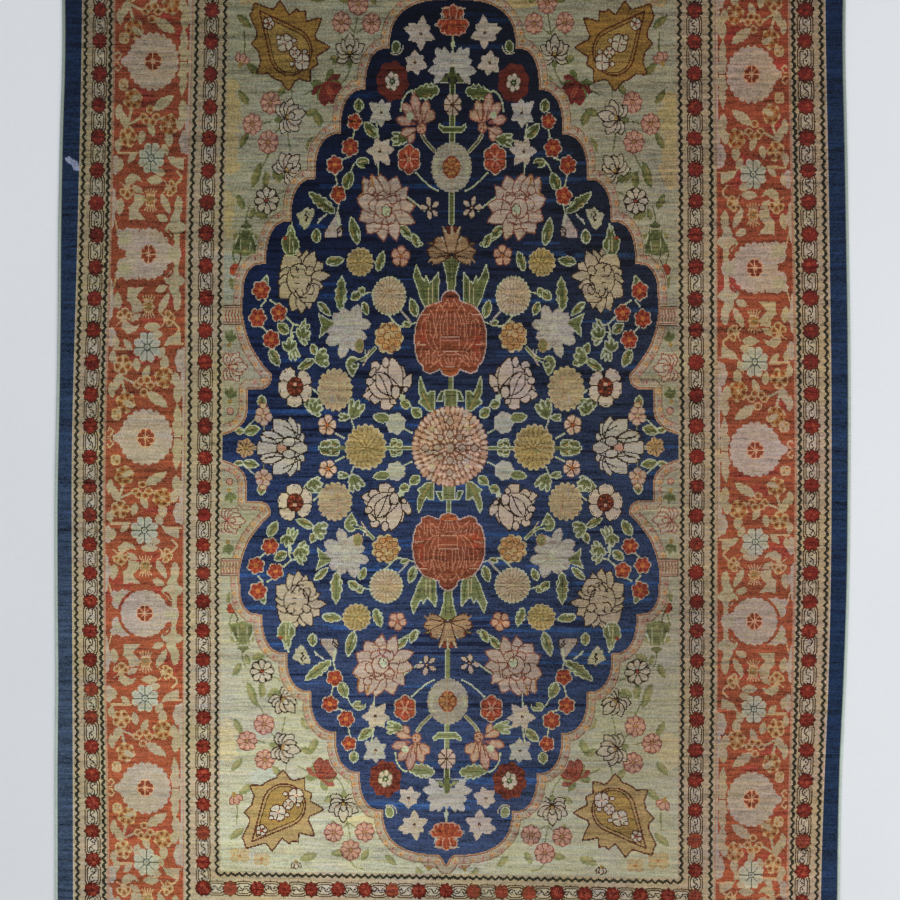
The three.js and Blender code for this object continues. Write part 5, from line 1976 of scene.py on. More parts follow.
def weave():
    rng = np.random.default_rng(20261122)
    chart = Chart(HALF_X, HALF_Y)
    paint_bands(chart)
    paint_main(chart, rng)
    paint_zigzags(chart, rng)
    paint_guards(chart, rng)
    mask, dist = paint_medallion(chart, rng)
    paint_field(chart, rng, mask, dist)
    chart.mask = None
    for x0, x1, y0, y1, dye in PATCHES:
        aged_patch(chart, rng, x0, x1, y0, y1, dye)
    for k in range(90):
        # hanks of a redder brick in the border
        if k % 3:
            x, y = rng.choice((-1, 1)) * rng.uniform(275, 340), rng.uniform(-520, 520)
        else:
            x, y = rng.uniform(-330, 330), rng.choice((-1, 1)) * rng.uniform(470, 535)
        w, h = rng.uniform(14, 44), rng.uniform(5, 22)
        aged_patch(chart, rng, x - w / 2, x + w / 2, int(y - h / 2), int(y + h / 2), "terrared", "terra")
    for k in range(230):
        # streaks of other blues in the medallion
        x, y = rng.uniform(-215, 215), rng.uniform(-400, 400)
        w, h = rng.uniform(20, 130), int(rng.integers(1, 5))
        aged_patch(chart, rng, x - w / 2, x + w / 2, int(y), int(y) + h, "navysea" if k % 2 else "navyink", "navy")
    scuff = [(-390.4, 261.4), (-386.6, 263.0), (-383.6, 260.4), (-379.6, 258.6), (-378.4, 255.6), (-378.4, 249.8), (-381.6, 249.6), (-385.0, 255.4), (-389.0, 258.2)]
    chart.fill(np.array(scuff), DYE["frost"])
    return chart.grid


# ---------------------------------------------------------------- from the chart to the rug
KNOT = 1.157  # mm, one knot across
STRETCH = 1.1087  # rows of the upper half were packed looser
LOWER_HALF, UPPER_HALF = 679.0, 753.0  # mm, pile from the pattern's centre to its ends
HALF_WIDTH = 455.0  # mm, nominal half width of the pile
FLATWEAVE = 9.0
SLAB_TOP = 1.3  # mm
PILE_TOP = 3.0

# How far each long edge stands out from the nominal half width, in mm
EDGE_TABLE = np.array([
    # y, left, right
    (-680, -1.2, -9.0), (-475, -1.5, -7.2), (-371, -1.5, -4.9), (-267, -2.3, -0.3), (-163, -1.5, 3.2),
    (-59, -1.5, 4.5), (45, -3.4, 4.9), (149, -4.9, 4.2), (253, -5.6, 2.6), (357, -7.4, 0.7),
    (461, -10.3, -1.3), (560, -9.6, -0.6), (760, -9.0, -0.4),
], float)

# Where the columns of the chart fell as the loom's tension changed: knots from the pattern's
# centre to the axis, the field's edge, the main border's two edges and the side band's edge.
COLUMNS = [0.0, 227.5, 266.0, 343.5, 378.0]
LEFT_TABLE = np.array([
    # y, axis, then the four edges outward
    (-600, -3.8, 229.0, 267.0, 340.0, 376.5),
    (-427, -3.8, 229.0, 267.0, 340.0, 377.0),
    (-207, -1.9, 229.0, 267.0, 343.0, 377.5),
    (-2, 0.0, 227.5, 266.0, 343.5, 378.0),
    (210, 1.6, 225.0, 264.0, 337.0, 372.0),
    (391, 2.8, 221.0, 258.0, 334.0, 368.0),
    (600, 2.8, 221.0, 258.0, 334.5, 368.5),
], float)
RIGHT_TABLE = np.array([
    (-600, 3.8, 227.0, 265.5, 335.0, 370.5),
    (-427, 3.8, 227.5, 266.0, 336.0, 371.0),
    (-207, 1.9, 228.0, 267.5, 341.0, 379.0),
    (-2, 0.0, 228.0, 268.0, 344.0, 381.5),
    (210, -1.6, 226.5, 267.0, 340.5, 379.0),
    (391, -2.8, 225.5, 266.0, 337.0, 375.5),
    (600, -2.8, 225.5, 266.0, 337.0, 375.5),
], float)
RIGHT_TABLE[:, 1] *= -1
# How far rows rise, in knots, at X = -230, 0 and 230
ROW_TABLE = np.array([
    (-600, 0.0, 0.0, 0.0),
    (-480, 0.4, -2.4, -6.0),
    (-427, 0.5, -2.8, -7.5),
    (-300, 0.3, -1.2, -3.0),
    (-150, 0.0, 0.0, 0.0),
    (200, 0.0, 0.0, 0.0),
    (600, 0.0, 0.0, 0.0),
], float)


def table_at(t, column, y):
    """Smooth value of one column of a table at y (Catmull-Rom between its rows)."""
    y = np.asarray(y, float)
    i = np.clip(np.searchsorted(t[:, 0], y, side="right") - 1, 0, len(t) - 2)
    p = [t[np.clip(i + k, 0, len(t) - 1), column] for k in (-1, 0, 1, 2)]
    s = np.clip((y - t[i, 0]) / (t[i + 1, 0] - t[i, 0]), 0, 1)
    a, b, c, d = p
    return 0.5 * (2 * b + (c - a) * s + (2 * a - 5 * b + 4 * c - d) * s**2 + (3 * b - a - 3 * c + d) * s**3)


low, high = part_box("carpet")
spots = np.linspace(-LOWER_HALF - FLATWEAVE, UPPER_HALF + FLATWEAVE, 43)
CENTRE_Y = low.y * 1000 + LOWER_HALF + FLATWEAVE
CENTRE_X = low.x * 1000 + HALF_WIDTH + table_at(EDGE_TABLE, 1, spots).max()


def left_edge(y):
    return -HALF_WIDTH - table_at(EDGE_TABLE, 1, y)


def right_edge(y):
    return HALF_WIDTH + table_at(EDGE_TABLE, 2, y)


def wander(x, y, seed, size):
    """Slow unevenness over the rug, in the unit of size."""
    r = np.random.default_rng(seed)
    out = np.zeros(np.broadcast(x, y).shape)
    for _ in range(7):
        kx, ky = r.uniform(-0.03, 0.03), r.uniform(-0.03, 0.03)
        out += np.sin(kx * x + ky * y + r.uniform(0, 6.28)) * r.uniform(0.4, 1)
    return out * size / 2.6


def lift(x, y):
    """How far the rug stands off the floor, in mm."""
    return np.clip(0.34 + wander(x, y, 5, 0.26), 0, 0.8)


def loomed(cx, cy):
    """Chart coordinates to millimetres from the pattern's centre."""
    cx, cy = np.asarray(cx, float), np.asarray(cy, float)
    inner = np.clip(1 - (np.abs(cy) - 480) / 100, 0, 1)
    rise = np.zeros_like(cy)
    for x0, x1, a, b in ((-230.0, 0.0, 1, 2), (0.0, 230.0, 2, 3)):
        on = (cx >= x0) & (cx < x1) if b == 2 else (cx >= x0)
        on = on | ((cx < x0) if b == 2 else np.zeros_like(on))
        t = np.clip((cx - x0) / (x1 - x0), -0.6, 1.6)
        value = table_at(ROW_TABLE, a, cy) * (1 - t) + table_at(ROW_TABLE, b, cy) * t
        rise = np.where(on, value, rise)
    ry = cy + rise + wander(cx, cy, 3, 0.5) * inner
    y = KNOT * ry * np.where(ry > 0, STRETCH, 1.0)
    out = np.zeros_like(y)
    for sign, table, edge in ((-1, LEFT_TABLE, left_edge(y) + 0.4), (1, RIGHT_TABLE, right_edge(y) - 0.4)):
        cols = COLUMNS + [float(HALF_X)]
        vals = [sign * table_at(table, k + 1, cy) * KNOT for k in range(5)] + [edge]
        if sign < 0:
            vals[0] = table_at(table, 1, cy) * KNOT
        else:
            vals[0] = table_at(LEFT_TABLE, 1, cy) * KNOT
        a = np.abs(cx)
        here = (cx < 0) if sign < 0 else (cx >= 0)
        x = np.zeros_like(y)
        for k in range(5):
            t = (a - cols[k]) / (cols[k + 1] - cols[k])
            seg = (a >= cols[k]) & (a <= cols[k + 1] + 1e-6)
            x = np.where(seg, vals[k] * (1 - t) + vals[k + 1] * t, x)
        out = np.where(here, x, out)
    fade = np.clip((HALF_X - np.abs(cx)) / 30, 0, 1)
    out = out + wander(cx, cy, 4, 0.6) * fade
    return out, y


def to_frame(x, y, z):
    """Millimetres from the pattern's centre to the row frame in metres."""
    return np.column_stack([(x + CENTRE_X) / 1000, (y + CENTRE_Y) / 1000, z / 1000])


# ---------------------------------------------------------------- silk dyes, with the pile's sheen painted in
def dye_and_sheen_stops():
    out = np.zeros((256, 3, 3))
    for n, c in DYES.items():
        c = np.array(c, float)
        if n in DYE_AND_SHEEN_STOPS:
            a, b, d = (np.array(v, float) for v in DYE_AND_SHEEN_STOPS[n])
        else:
            # painted light: a dye without its own stops is painted deeper at the upper end and paler at the lower end
            a, b, d = c * 0.84 - 4, c, c * 1.06 + 5
        out[DYE[n]] = (a, b, d)
    return out


STOPS = dye_and_sheen_stops()


def dyed_with_painted_sheen(dye, cy, cx=0.0):
    """Linear colour of a dye at a row, with painted light: the nap turns the light, so one end is painted deeper and
    the other paler, and the sides are painted lighter and darker too.
    """
    s = STOPS[dye]
    # painted light: each dye moves from its middle tone to a deeper one at the upper end and a paler one at the lower
    # end; the navy deepens sooner
    t = np.clip(cy / 400.0, -1.25, 1.25)
    up, down = np.clip(t, 0, None)[:, None], np.clip(-t, 0, None)[:, None]
    deep = (np.asarray(dye) == DYE["navy"])[:, None]
    up = np.where(deep, up**0.7, up)
    c = s[:, 1] + (s[:, 0] - s[:, 1]) * up + (s[:, 2] - s[:, 1]) * down
    # painted light: the blues are painted warmer on the right side and cooler on the left, more so towards the upper
    # end
    cx = np.clip(np.broadcast_to(np.asarray(cx, float), np.shape(cy)), -400, 400)
    blue = np.isin(dye, [DYE["navy"], DYE["navyink"], DYE["navysea"]])[:, None]
    c = c + np.where(blue, np.array([7.0, 4.0, -3.0]) * (np.clip(0.5 + cy / 400.0, 0, 1) * cx / 200.0)[:, None], 0.0)
    c = 105 + (c - 105) * 1.1
    # painted light: a slight dimming at some rows, and the left side painted lighter and the right side darker, most in
    # the lower half
    level = np.interp(cy, [-330, -155, 0, 155, 330], [0.99, 0.995, 1.0, 1.0, 0.98])
    lean = np.interp(cy, [-560, -330, -155, 0, 155, 320], [0.08, 0.145, 0.15, 0.07, 0.02, 0.0])
    side = cx / 190.0 * np.exp(0.5 * (1 - (cx / 190.0) ** 2))
    c = c * (level - lean * side)[:, None]
    # painted light: the blue edge band is painted paler and warmer on the left side and deeper and bluer on the right,
    # following the same side light
    edge = np.isin(dye, [DYE["edgeblue"]])[:, None]
    edge_side_sheen = (lean * -np.sign(cx))[:, None]
    c = np.where(edge, (c + edge_side_sheen * np.array([60.0, 27.0, -27.0])) * (1 + 1.0 * edge_side_sheen), c)
    # painted light: the right side is painted slightly warmer, the blues apart
    warm = np.clip(cx / 260.0, 0, 1.35)[:, None] * np.where(blue | edge, 0.0, 1.0)
    c = c * (1 + warm * np.array([0.05, 0.012, 0.015]))
    c = np.clip(c, 2, 250) / 255
    return np.where(c <= 0.04045, c / 12.92, ((c + 0.055) / 1.055) ** 2.4)


# ---------------------------------------------------------------- meshes from the chart
def link(name, verts, faces, sizes, smooth=False):
    mesh = bpy.data.meshes.new(name)
    mesh.vertices.add(len(verts))
    mesh.vertices.foreach_set("co", np.ascontiguousarray(verts, np.float32).ravel())
    flat = np.concatenate([np.ravel(f) for f in faces]).astype(np.int32)
    counts = np.concatenate([np.full(len(f), k, np.int32) for f, k in zip(faces, sizes)])
    mesh.loops.add(len(flat))
    mesh.loops.foreach_set("vertex_index", flat)
    mesh.polygons.add(len(counts))
    mesh.polygons.foreach_set("loop_start", (np.cumsum(counts) - counts).astype(np.int32))
    mesh.polygons.foreach_set("use_smooth", np.full(len(counts), smooth, bool))
    mesh.update(calc_edges=True)
    obj = bpy.data.objects.new(name, mesh)
    bpy.context.scene.collection.objects.link(obj)
    return obj, flat, counts


def lay_uv(obj, u, v, flat):
    layer = obj.data.uv_layers.new(name="OFBake")
    layer.data.foreach_set("uv", np.column_stack([u[flat], v[flat]]).astype(np.float32).ravel())


def lay_colour(obj, rgb):
    # this colour attribute holds each dye with the pile's painted sheen and side light in it
    layer = obj.data.color_attributes.new("dye", "FLOAT_COLOR", "CORNER")
    layer.data.foreach_set("color", np.column_stack([rgb, np.ones(len(rgb))]).astype(np.float32).ravel())
    obj.data.color_attributes.active_color = layer
    obj.data.color_attributes.render_color_index = 0


def corners_of(grid, mask, long_run=16, inner=12):
    """Lattice corners, and the edges between them, that part the colours inside a mask."""
    g = np.where(mask, grid, 0).astype(np.int16)
    g = np.pad(g, 1)
    H = g[1:, 1:-1] != g[:-1, 1:-1]  # between rows
    V = g[1:-1, 1:] != g[1:-1, :-1]  # between columns
    rows, cols = mask.shape
    left = np.zeros((rows + 1, cols + 1), bool)
    right, down, up = left.copy(), left.copy(), left.copy()
    left[:, 1:] = H
    right[:, :-1] = H
    down[1:, :] = V
    up[:-1, :] = V
    some = left | right | down | up
    flat_run, tall_run = left & right & ~down & ~up, down & up & ~left & ~right
    rr, cc = np.mgrid[0 : rows + 1, 0 : cols + 1]
    keep = some & ~(flat_run & (cc % long_run != 0)) & ~(tall_run & (rr % long_run != 0))
    whole = np.zeros_like(keep)
    m = np.pad(mask, 1)
    whole[:] = m[1:, 1:] & m[:-1, 1:] & m[1:, :-1] & m[:-1, :-1]
    sparse = whole & ~some & (rr % inner == 0) & (cc % inner == 0)
    ids = np.full(keep.shape, -1)
    kr, kc = np.nonzero(keep)
    ids[kr, kc] = np.arange(len(kr))
    edges = []
    order = np.arange(len(kr))
    a = order[right[kr, kc]]
    edges.append(np.column_stack([a, a + 1]))
    by_col = np.lexsort((kr, kc))
    has_up = up[kr[by_col], kc[by_col]]
    k = np.nonzero(has_up)[0]
    edges.append(np.column_stack([by_col[k], by_col[k + 1]]))
    sr, sc = np.nonzero(sparse)
    return np.concatenate([kr, sr]), np.concatenate([kc, sc]), np.vstack(edges), len(kr)


def triangles(cols, rows, edges):
    """Constrained triangles over lattice points, all facing up."""
    pts = [Vector((float(x), float(y))) for x, y in zip(cols, rows)]
    v, _, f, orig, _, _ = delaunay_2d_cdt(pts, [(int(a), int(b)) for a, b in edges], [], 0, 1e-6, True)
    back = np.array([o[0] if o else -1 for o in orig])
    tri = np.array([t for t in f if len(t) == 3], int)
    tri = back[tri]
    tri = tri[(tri >= 0).all(1)]
    x, y = np.asarray(cols, float), np.asarray(rows, float)
    a, b, c = tri.T
    area = (x[b] - x[a]) * (y[c] - y[a]) - (x[c] - x[a]) * (y[b] - y[a])
    tri = tri[np.abs(area) > 1e-9]
    area = area[np.abs(area) > 1e-9]
    tri[area < 0] = tri[area < 0][:, ::-1]
    return tri


def cell_of(tri, cols, rows):
    x, y = np.asarray(cols, float), np.asarray(rows, float)
    c = np.floor(x[tri].mean(1)).astype(int)
    r = np.floor(y[tri].mean(1)).astype(int)
    return r, c


def pile_block(name, grid, mask):
    """A closed block of pile over a mask of the chart, its top parted by colour."""
    rows, cols, edges, n_keep = corners_of(grid, mask)
    tri = triangles(cols, rows, edges)
    r, c = cell_of(tri, cols, rows)
    ok = (r >= 0) & (c >= 0) & (r < mask.shape[0]) & (c < mask.shape[1])
    ok[ok] = mask[r[ok], c[ok]]
    tri, r, c = tri[ok], r[ok], c[ok]
    dye = grid[r, c]
    # boundary of the block, found from the triangles' own lone edges
    e = np.vstack([tri[:, [0, 1]], tri[:, [1, 2]], tri[:, [2, 0]]])
    n = len(rows)
    key = e[:, 0] * n + e[:, 1]
    twin = e[:, 1] * n + e[:, 0]
    lone = e[~np.isin(key, twin)]
    rim = np.unique(lone)
    place = np.full(n, -1)
    place[rim] = np.arange(len(rim))
    low_tri = triangles(cols[rim], rows[rim], place[lone])
    lr, lc = cell_of(low_tri, cols[rim], rows[rim])
    ok = (lr >= 0) & (lc >= 0) & (lr < mask.shape[0]) & (lc < mask.shape[1])
    ok[ok] = mask[lr[ok], lc[ok]]
    low_tri = low_tri[ok]
    cx, cy = cols - HALF_X, rows - HALF_Y
    x, y = loomed(cx, cy)
    h = lift(x, y)
    top = to_frame(x, y, PILE_TOP + h)
    bottom = to_frame(x[rim], y[rim], SLAB_TOP + h[rim])
    verts = np.vstack([top, bottom])
    walls = np.column_stack([place[lone[:, 0]] + n, place[lone[:, 1]] + n, lone[:, 1], lone[:, 0]])
    lows = low_tri[:, ::-1] + n
    obj, flat, counts = link(name, verts, [tri, walls, lows], [3, 4, 3])
    u = np.concatenate([cx, cx[rim]]) / (2.0 * HALF_X) + 0.5
    v = np.concatenate([cy, cy[rim]]) / (2.0 * HALF_Y) + 0.5
    lay_uv(obj, u, v, flat)
    # colours: a wall takes the dye of the triangle over it
    e_face = np.concatenate([np.arange(len(tri))] * 3)
    lone_dye = dye[e_face[~np.isin(key, twin)]]
    face_dye = np.concatenate([np.repeat(dye, 3), np.repeat(lone_dye, 4), np.full(len(lows) * 3, DYE["guard"])])
    # painted light: these colours carry the pile's sheen painted in, deeper at the upper end, paler at the lower end,
    # and lighter on the left side
    yy = np.concatenate([cy, cy[rim]])[flat]
    lay_colour(obj, dyed_with_painted_sheen(face_dye, yy, np.concatenate([cx, cx[rim]])[flat]))
    return obj


BACK = {
    "navy": ("navyink", "navysea", "navy2"),
    "terra": ("terrared", "terra2"),
    "field": ("fieldwarm", "fieldcool"),
    "peach": ("peachlight", "tanpink", "creamrose", "peachcream", "chryscell", "rosepale", "pink"),
    "greylilac": ("greylilac2", "leafgreen", "borderleaf2", "borderleaf"),
    "paleblue": ("mistgreen", "teal"),
    "olivegold": ("goldline", "goldlight"),
    "ochrepale": ("amber", "amberline", "camelpale", "orangepale"),
    "straw": ("camel", "tan", "ivorycream"),
    "green2": ("green", "deepgreen"),
    "fieldleaf": ("deepolive",),
    "rust": ("rust2", "urnline", "darkred"),
    "urnred": ("rustbrown",),
    "guardred": ("maroon",),
}


def slab_piece(grid):
    """Foundation: the woven back with the pattern on its underside, and bare woven ends."""
    half = grid[::2, ::2].copy()
    # the back shows the main dyes only, each close tone merged with its neighbour
    for name, near in BACK.items():
        for n in near:
            half[half == DYE[n]] = DYE[name]
    ends = 4
    half = np.vstack([np.full((ends, half.shape[1]), DYE["weft"], np.uint8), half, np.full((ends, half.shape[1]), DYE["weft"], np.uint8)])
    mask = np.ones(half.shape, bool)
    rows, cols, edges, _ = corners_of(half, mask, 12, 10)
    tri = triangles(cols, rows, edges)
    r, c = cell_of(tri, cols, rows)
    dye = half[np.clip(r, 0, len(half) - 1), np.clip(c, 0, half.shape[1] - 1)]
    n = len(rows)
    e = np.vstack([tri[:, [0, 1]], tri[:, [1, 2]], tri[:, [2, 0]]])
    key, twin = e[:, 0] * n + e[:, 1], e[:, 1] * n + e[:, 0]
    out = ~np.isin(key, twin)
    lone = e[out]
    lone_dye = dye[np.concatenate([np.arange(len(tri))] * 3)[out]]
    rim = np.unique(lone)
    place = np.full(n, -1)
    place[rim] = np.arange(len(rim))
    # the upper side needs few points: the rim and a coarse net
    net_r, net_c = np.meshgrid(np.arange(12, half.shape[0] - 11, 16), np.arange(12, half.shape[1] - 11, 16), indexing="ij")
    up_cols = np.concatenate([cols[rim], net_c.ravel()])
    up_rows = np.concatenate([rows[rim], net_r.ravel()])
    # the upper side's triangles over the rim and the coarse net
    up = triangles(up_cols, up_rows, place[lone])

    def place_at(cols, rows):
        cx = cols * 2.0 - HALF_X
        cy = (rows - ends) * 2.0 - HALF_Y
        beyond = np.clip(np.abs(cy) - HALF_Y, 0, None)
        cyc = np.clip(cy, -HALF_Y, HALF_Y)
        x, y = loomed(cx, cyc)
        y = y + np.sign(cy) * beyond / (2.0 * ends) * FLATWEAVE
        x = np.where(cx >= HALF_X, x + 0.4, np.where(cx <= -HALF_X, x - 0.4, x))
        return cx, cy, x, y

    cx, cy, x, y = place_at(cols, rows)
    under = to_frame(x, y, lift(x, y))
    ux, uy, x2, y2 = place_at(up_cols, up_rows)
    over = to_frame(x2, y2, SLAB_TOP - 0.03 + lift(x2, y2))
    verts = np.vstack([under, over])
    walls = np.column_stack([lone[:, 0], lone[:, 1], place[lone[:, 1]] + n, place[lone[:, 0]] + n])
    obj, flat, counts = link("foundation", verts, [tri[:, ::-1], walls, up + n], [3, 4, 3])
    allx, ally = np.concatenate([cx, ux]), np.concatenate([cy, uy])
    lay_uv(obj, allx / (2.0 * HALF_X) + 0.5, ally / (2.0 * HALF_Y) + 0.5, flat)
    face_dye = np.concatenate([np.repeat(dye, 3), np.repeat(lone_dye, 4), np.full(len(up) * 3, DYE["weft"])])
    # painted light: the back carries the same painted sheen as the pile, deeper at the upper end and paler at the lower
    lay_colour(obj, dyed_with_painted_sheen(face_dye, ally[flat], allx[flat]))
    return obj


def sweep(paths, radii, sides, squash=1.0, turn=None):
    """Closed tubes along many paths of the same number of points: (vertices, quads, caps)."""
    paths = np.asarray(paths, float)
    m, n, _ = paths.shape
    t = np.gradient(paths, axis=1)
    t /= np.linalg.norm(t, axis=2, keepdims=True)
    up = np.array([0, 0, 1.0])
    side = np.cross(t, up)
    side /= np.linalg.norm(side, axis=2, keepdims=True)
    lift_v = np.cross(side, t)
    a = np.linspace(0, 2 * np.pi, sides, endpoint=False)
    r = np.broadcast_to(np.asarray(radii, float), (m, n))[:, :, None, None]
    ring = side[:, :, None] * np.cos(a)[None, None, :, None] * r + lift_v[:, :, None] * np.sin(a)[None, None, :, None] * r * squash
    v = paths[:, :, None] + ring
    ids = np.arange(m * n * sides).reshape(m, n, sides)
    q = np.stack([ids[:, :-1], np.roll(ids, -1, 2)[:, :-1], np.roll(ids, -1, 2)[:, 1:], ids[:, 1:]], -1).reshape(-1, 4)
    first = ids[:, 0][:, ::-1]
    last = ids[:, -1]
    return v.reshape(-1, 3), q[:, ::-1], np.vstack([first[:, ::-1], last[:, ::-1]])


def strand_piece(name, paths, radii, sides=5, squash=1.0, rgb=None):
    v, q, caps = sweep(paths, radii, sides, squash)
    obj, flat, counts = link(name, to_frame(v[:, 0], v[:, 1], v[:, 2]), [q, caps], [4, sides], True)
    u = (v[:, 0] / 1000 + 0.5) / 1.0
    w = (v[:, 1] / 1000 + 0.8) / 1.6
    lay_uv(obj, u, w, flat)
    per = np.repeat(rgb, len(v) // len(paths), axis=0) if rgb is not None else None
    if per is not None:
        lay_colour(obj, per[flat])
    return obj


def cord_piece(name, edge, side, rng):
    """Overcast side cord: a flat roll whipped with silk, each turn of thread a small ridge."""
    pitch = 1.35
    n = int((UPPER_HALF + LOWER_HALF - 1.0) / pitch) * 2 + 1
    y = np.linspace(-LOWER_HALF + 0.6, UPPER_HALF - 0.6, n)
    x = edge(y) + side * (0.3 + 2.05)
    ridge = np.where(np.arange(n) % 2 == 0, 0.86, 1.0) * (1 + 0.03 * rng.standard_normal(n))
    ridge[0] = ridge[-1] = 0.6
    z = 1.2 + lift(x, y)
    path = np.column_stack([x, y, z])[None]
    v, q, caps = sweep(path, 2.05 * ridge, 10, 0.57)
    # the thread leans as it winds
    v = v.copy()
    v[:, 1] += side * (v[:, 0] - np.repeat(x, 10)) * 0.22
    obj, flat, counts = link(name, to_frame(v[:, 0], v[:, 1], v[:, 2]), [q, caps], [4, 10], True)
    lay_uv(obj, (v[:, 0] / 1000 + 0.5), (v[:, 1] / 1000 + 0.8) / 1.6, flat)
    # painted light: the cord's silk is painted deeper towards the upper end and paler towards the lower
    tone = dyed_with_painted_sheen(np.full(n, DYE["cordsilk"]), y / KNOT) * (1 + 0.06 * rng.standard_normal(n))[:, None]
    lay_colour(obj, np.repeat(np.clip(tone, 0.01, 0.9), 10, axis=0)[flat])
    return obj


def fringe_piece(name, end, rng):
    """Warp ends: thin strands in loose bunches past a twined header."""
    half = UPPER_HALF if end > 0 else LOWER_HALF
    y0 = end * (half + FLATWEAVE)
    first, last = left_edge(y0) + 1.6, right_edge(y0) - 1.6
    bunches, per = 104, 7
    paths, radii, tones = [], [], []
    t = np.linspace(0, 1, 9)
    # painted light: each fringe takes the painted sheen of its end, the upper one deeper and the lower one paler
    base = dyed_with_painted_sheen(np.array([DYE["warpsilk"]]), np.array([end * 500.0]))[0]
    for i in range(bunches):
        x = first + (last - first) * (i + 0.5) / bunches
        lean = 0.9 * math.sin(0.37 * i + end) + 0.5 * math.sin(0.111 * i)
        long = 40.6 + 1.4 * math.sin(1.7 * i + 2 * end)
        for k in range(per):
            off = (k - (per - 1) / 2) * 0.92 + rng.uniform(-0.2, 0.2)
            sway = lean + rng.uniform(-0.9, 0.9) * 0.8
            l = long * rng.uniform(0.9, 1.0)
            pinch = 1 - 0.35 * np.sin(np.pi * np.clip(t * 1.4, 0, 1))
            px = x + off * pinch + sway * t**1.6 + 0.35 * np.sin(t * rng.uniform(5, 9) + rng.uniform(0, 6)) * t
            py = y0 + end * (0.6 + l * t)
            pz = 0.45 + 0.42 * (1 - t) + 0.14 * rng.uniform(-1, 1) + 0.1 * np.sin(t * 7 + k)
            paths.append(np.column_stack([px, py, np.clip(pz, 0.33, 1.0)]))
            r = 0.33 * rng.uniform(0.85, 1.1)
            radii.append(np.array([r] * 8 + [r * 0.4]))
            tones.append(base * rng.uniform(0.86, 1.1))
    return strand_piece(name, np.array(paths), np.array(radii), 5, 0.92, np.clip(np.array(tones), 0.01, 0.9))


def header_piece(name, end, rng):
    """Twined line of two threads between the bare woven strip and the fringe."""
    half = UPPER_HALF if end > 0 else LOWER_HALF
    y0 = end * (half + FLATWEAVE + 0.75)
    first, last = left_edge(y0) + 1.2, right_edge(y0) - 1.2
    n = 1000
    x = np.linspace(first, last, n)
    paths = []
    for k in range(2):
        a = x / 2.4 * np.pi + k * np.pi
        paths.append(np.column_stack([x, y0 + 0.34 * np.cos(a), 0.85 + 0.34 * np.sin(a)]))
    # painted light: each header takes the painted sheen of its end, the upper one deeper and the lower one paler
    base = dyed_with_painted_sheen(np.array([DYE["warpsilk"]]), np.array([end * 500.0]))[0]
    return strand_piece(name, np.array(paths), np.full((2, n), 0.42), 5, 1.0, np.array([base, base * 0.9]))


# ---------------------------------------------------------------- materials
class Nodes:
    def __init__(self, name):
        self.mat = bpy.data.materials.new(name)
        self.mat.use_nodes = True
        self.tree = self.mat.node_tree
        self.tree.nodes.clear()
        self.out = self.add("ShaderNodeOutputMaterial")
        self.bsdf = self.add("ShaderNodeBsdfPrincipled")
        self.tree.links.new(self.bsdf.outputs[0], self.out.inputs[0])

    def add(self, kind, **props):
        n = self.tree.nodes.new(kind)
        for k, v in props.items():
            setattr(n, k, v)
        return n

    def join(self, value, socket):
        if isinstance(value, bpy.types.NodeSocket):
            self.tree.links.new(value, socket)
        else:
            socket.default_value = value

    def math(self, op, a, b=0.0, c=0.0):
        n = self.add("ShaderNodeMath", operation=op)
        for s, v in zip(n.inputs, (a, b, c)):
            self.join(v, s)
        return n.outputs[0]

    def noise(self, vector, scale, detail=2.0, rough=0.5, dims="3D"):
        n = self.add("ShaderNodeTexNoise", noise_dimensions=dims)
        self.join(vector, n.inputs["Vector"])
        n.inputs["Scale"].default_value = scale
        n.inputs["Detail"].default_value = detail
        n.inputs["Roughness"].default_value = rough
        return n.outputs["Fac"]

    def combine(self, x, y, z=0.0):
        n = self.add("ShaderNodeCombineXYZ")
        for s, v in zip(n.inputs, (x, y, z)):
            self.join(v, s)
        return n.outputs[0]

    def mix(self, fac, a, b, blend="MIX"):
        n = self.add("ShaderNodeMix", data_type="RGBA", blend_type=blend)
        self.join(fac, n.inputs[0])
        self.join(a, n.inputs[6])
        self.join(b, n.inputs[7])
        return n.outputs[2]

    def span(self, value, lo, hi, to_lo, to_hi):
        n = self.add("ShaderNodeMapRange")
        n.clamp = True
        for s, v in zip(n.inputs[:5], (value, lo, hi, to_lo, to_hi)):
            self.join(v, s)
        return n.outputs[0]


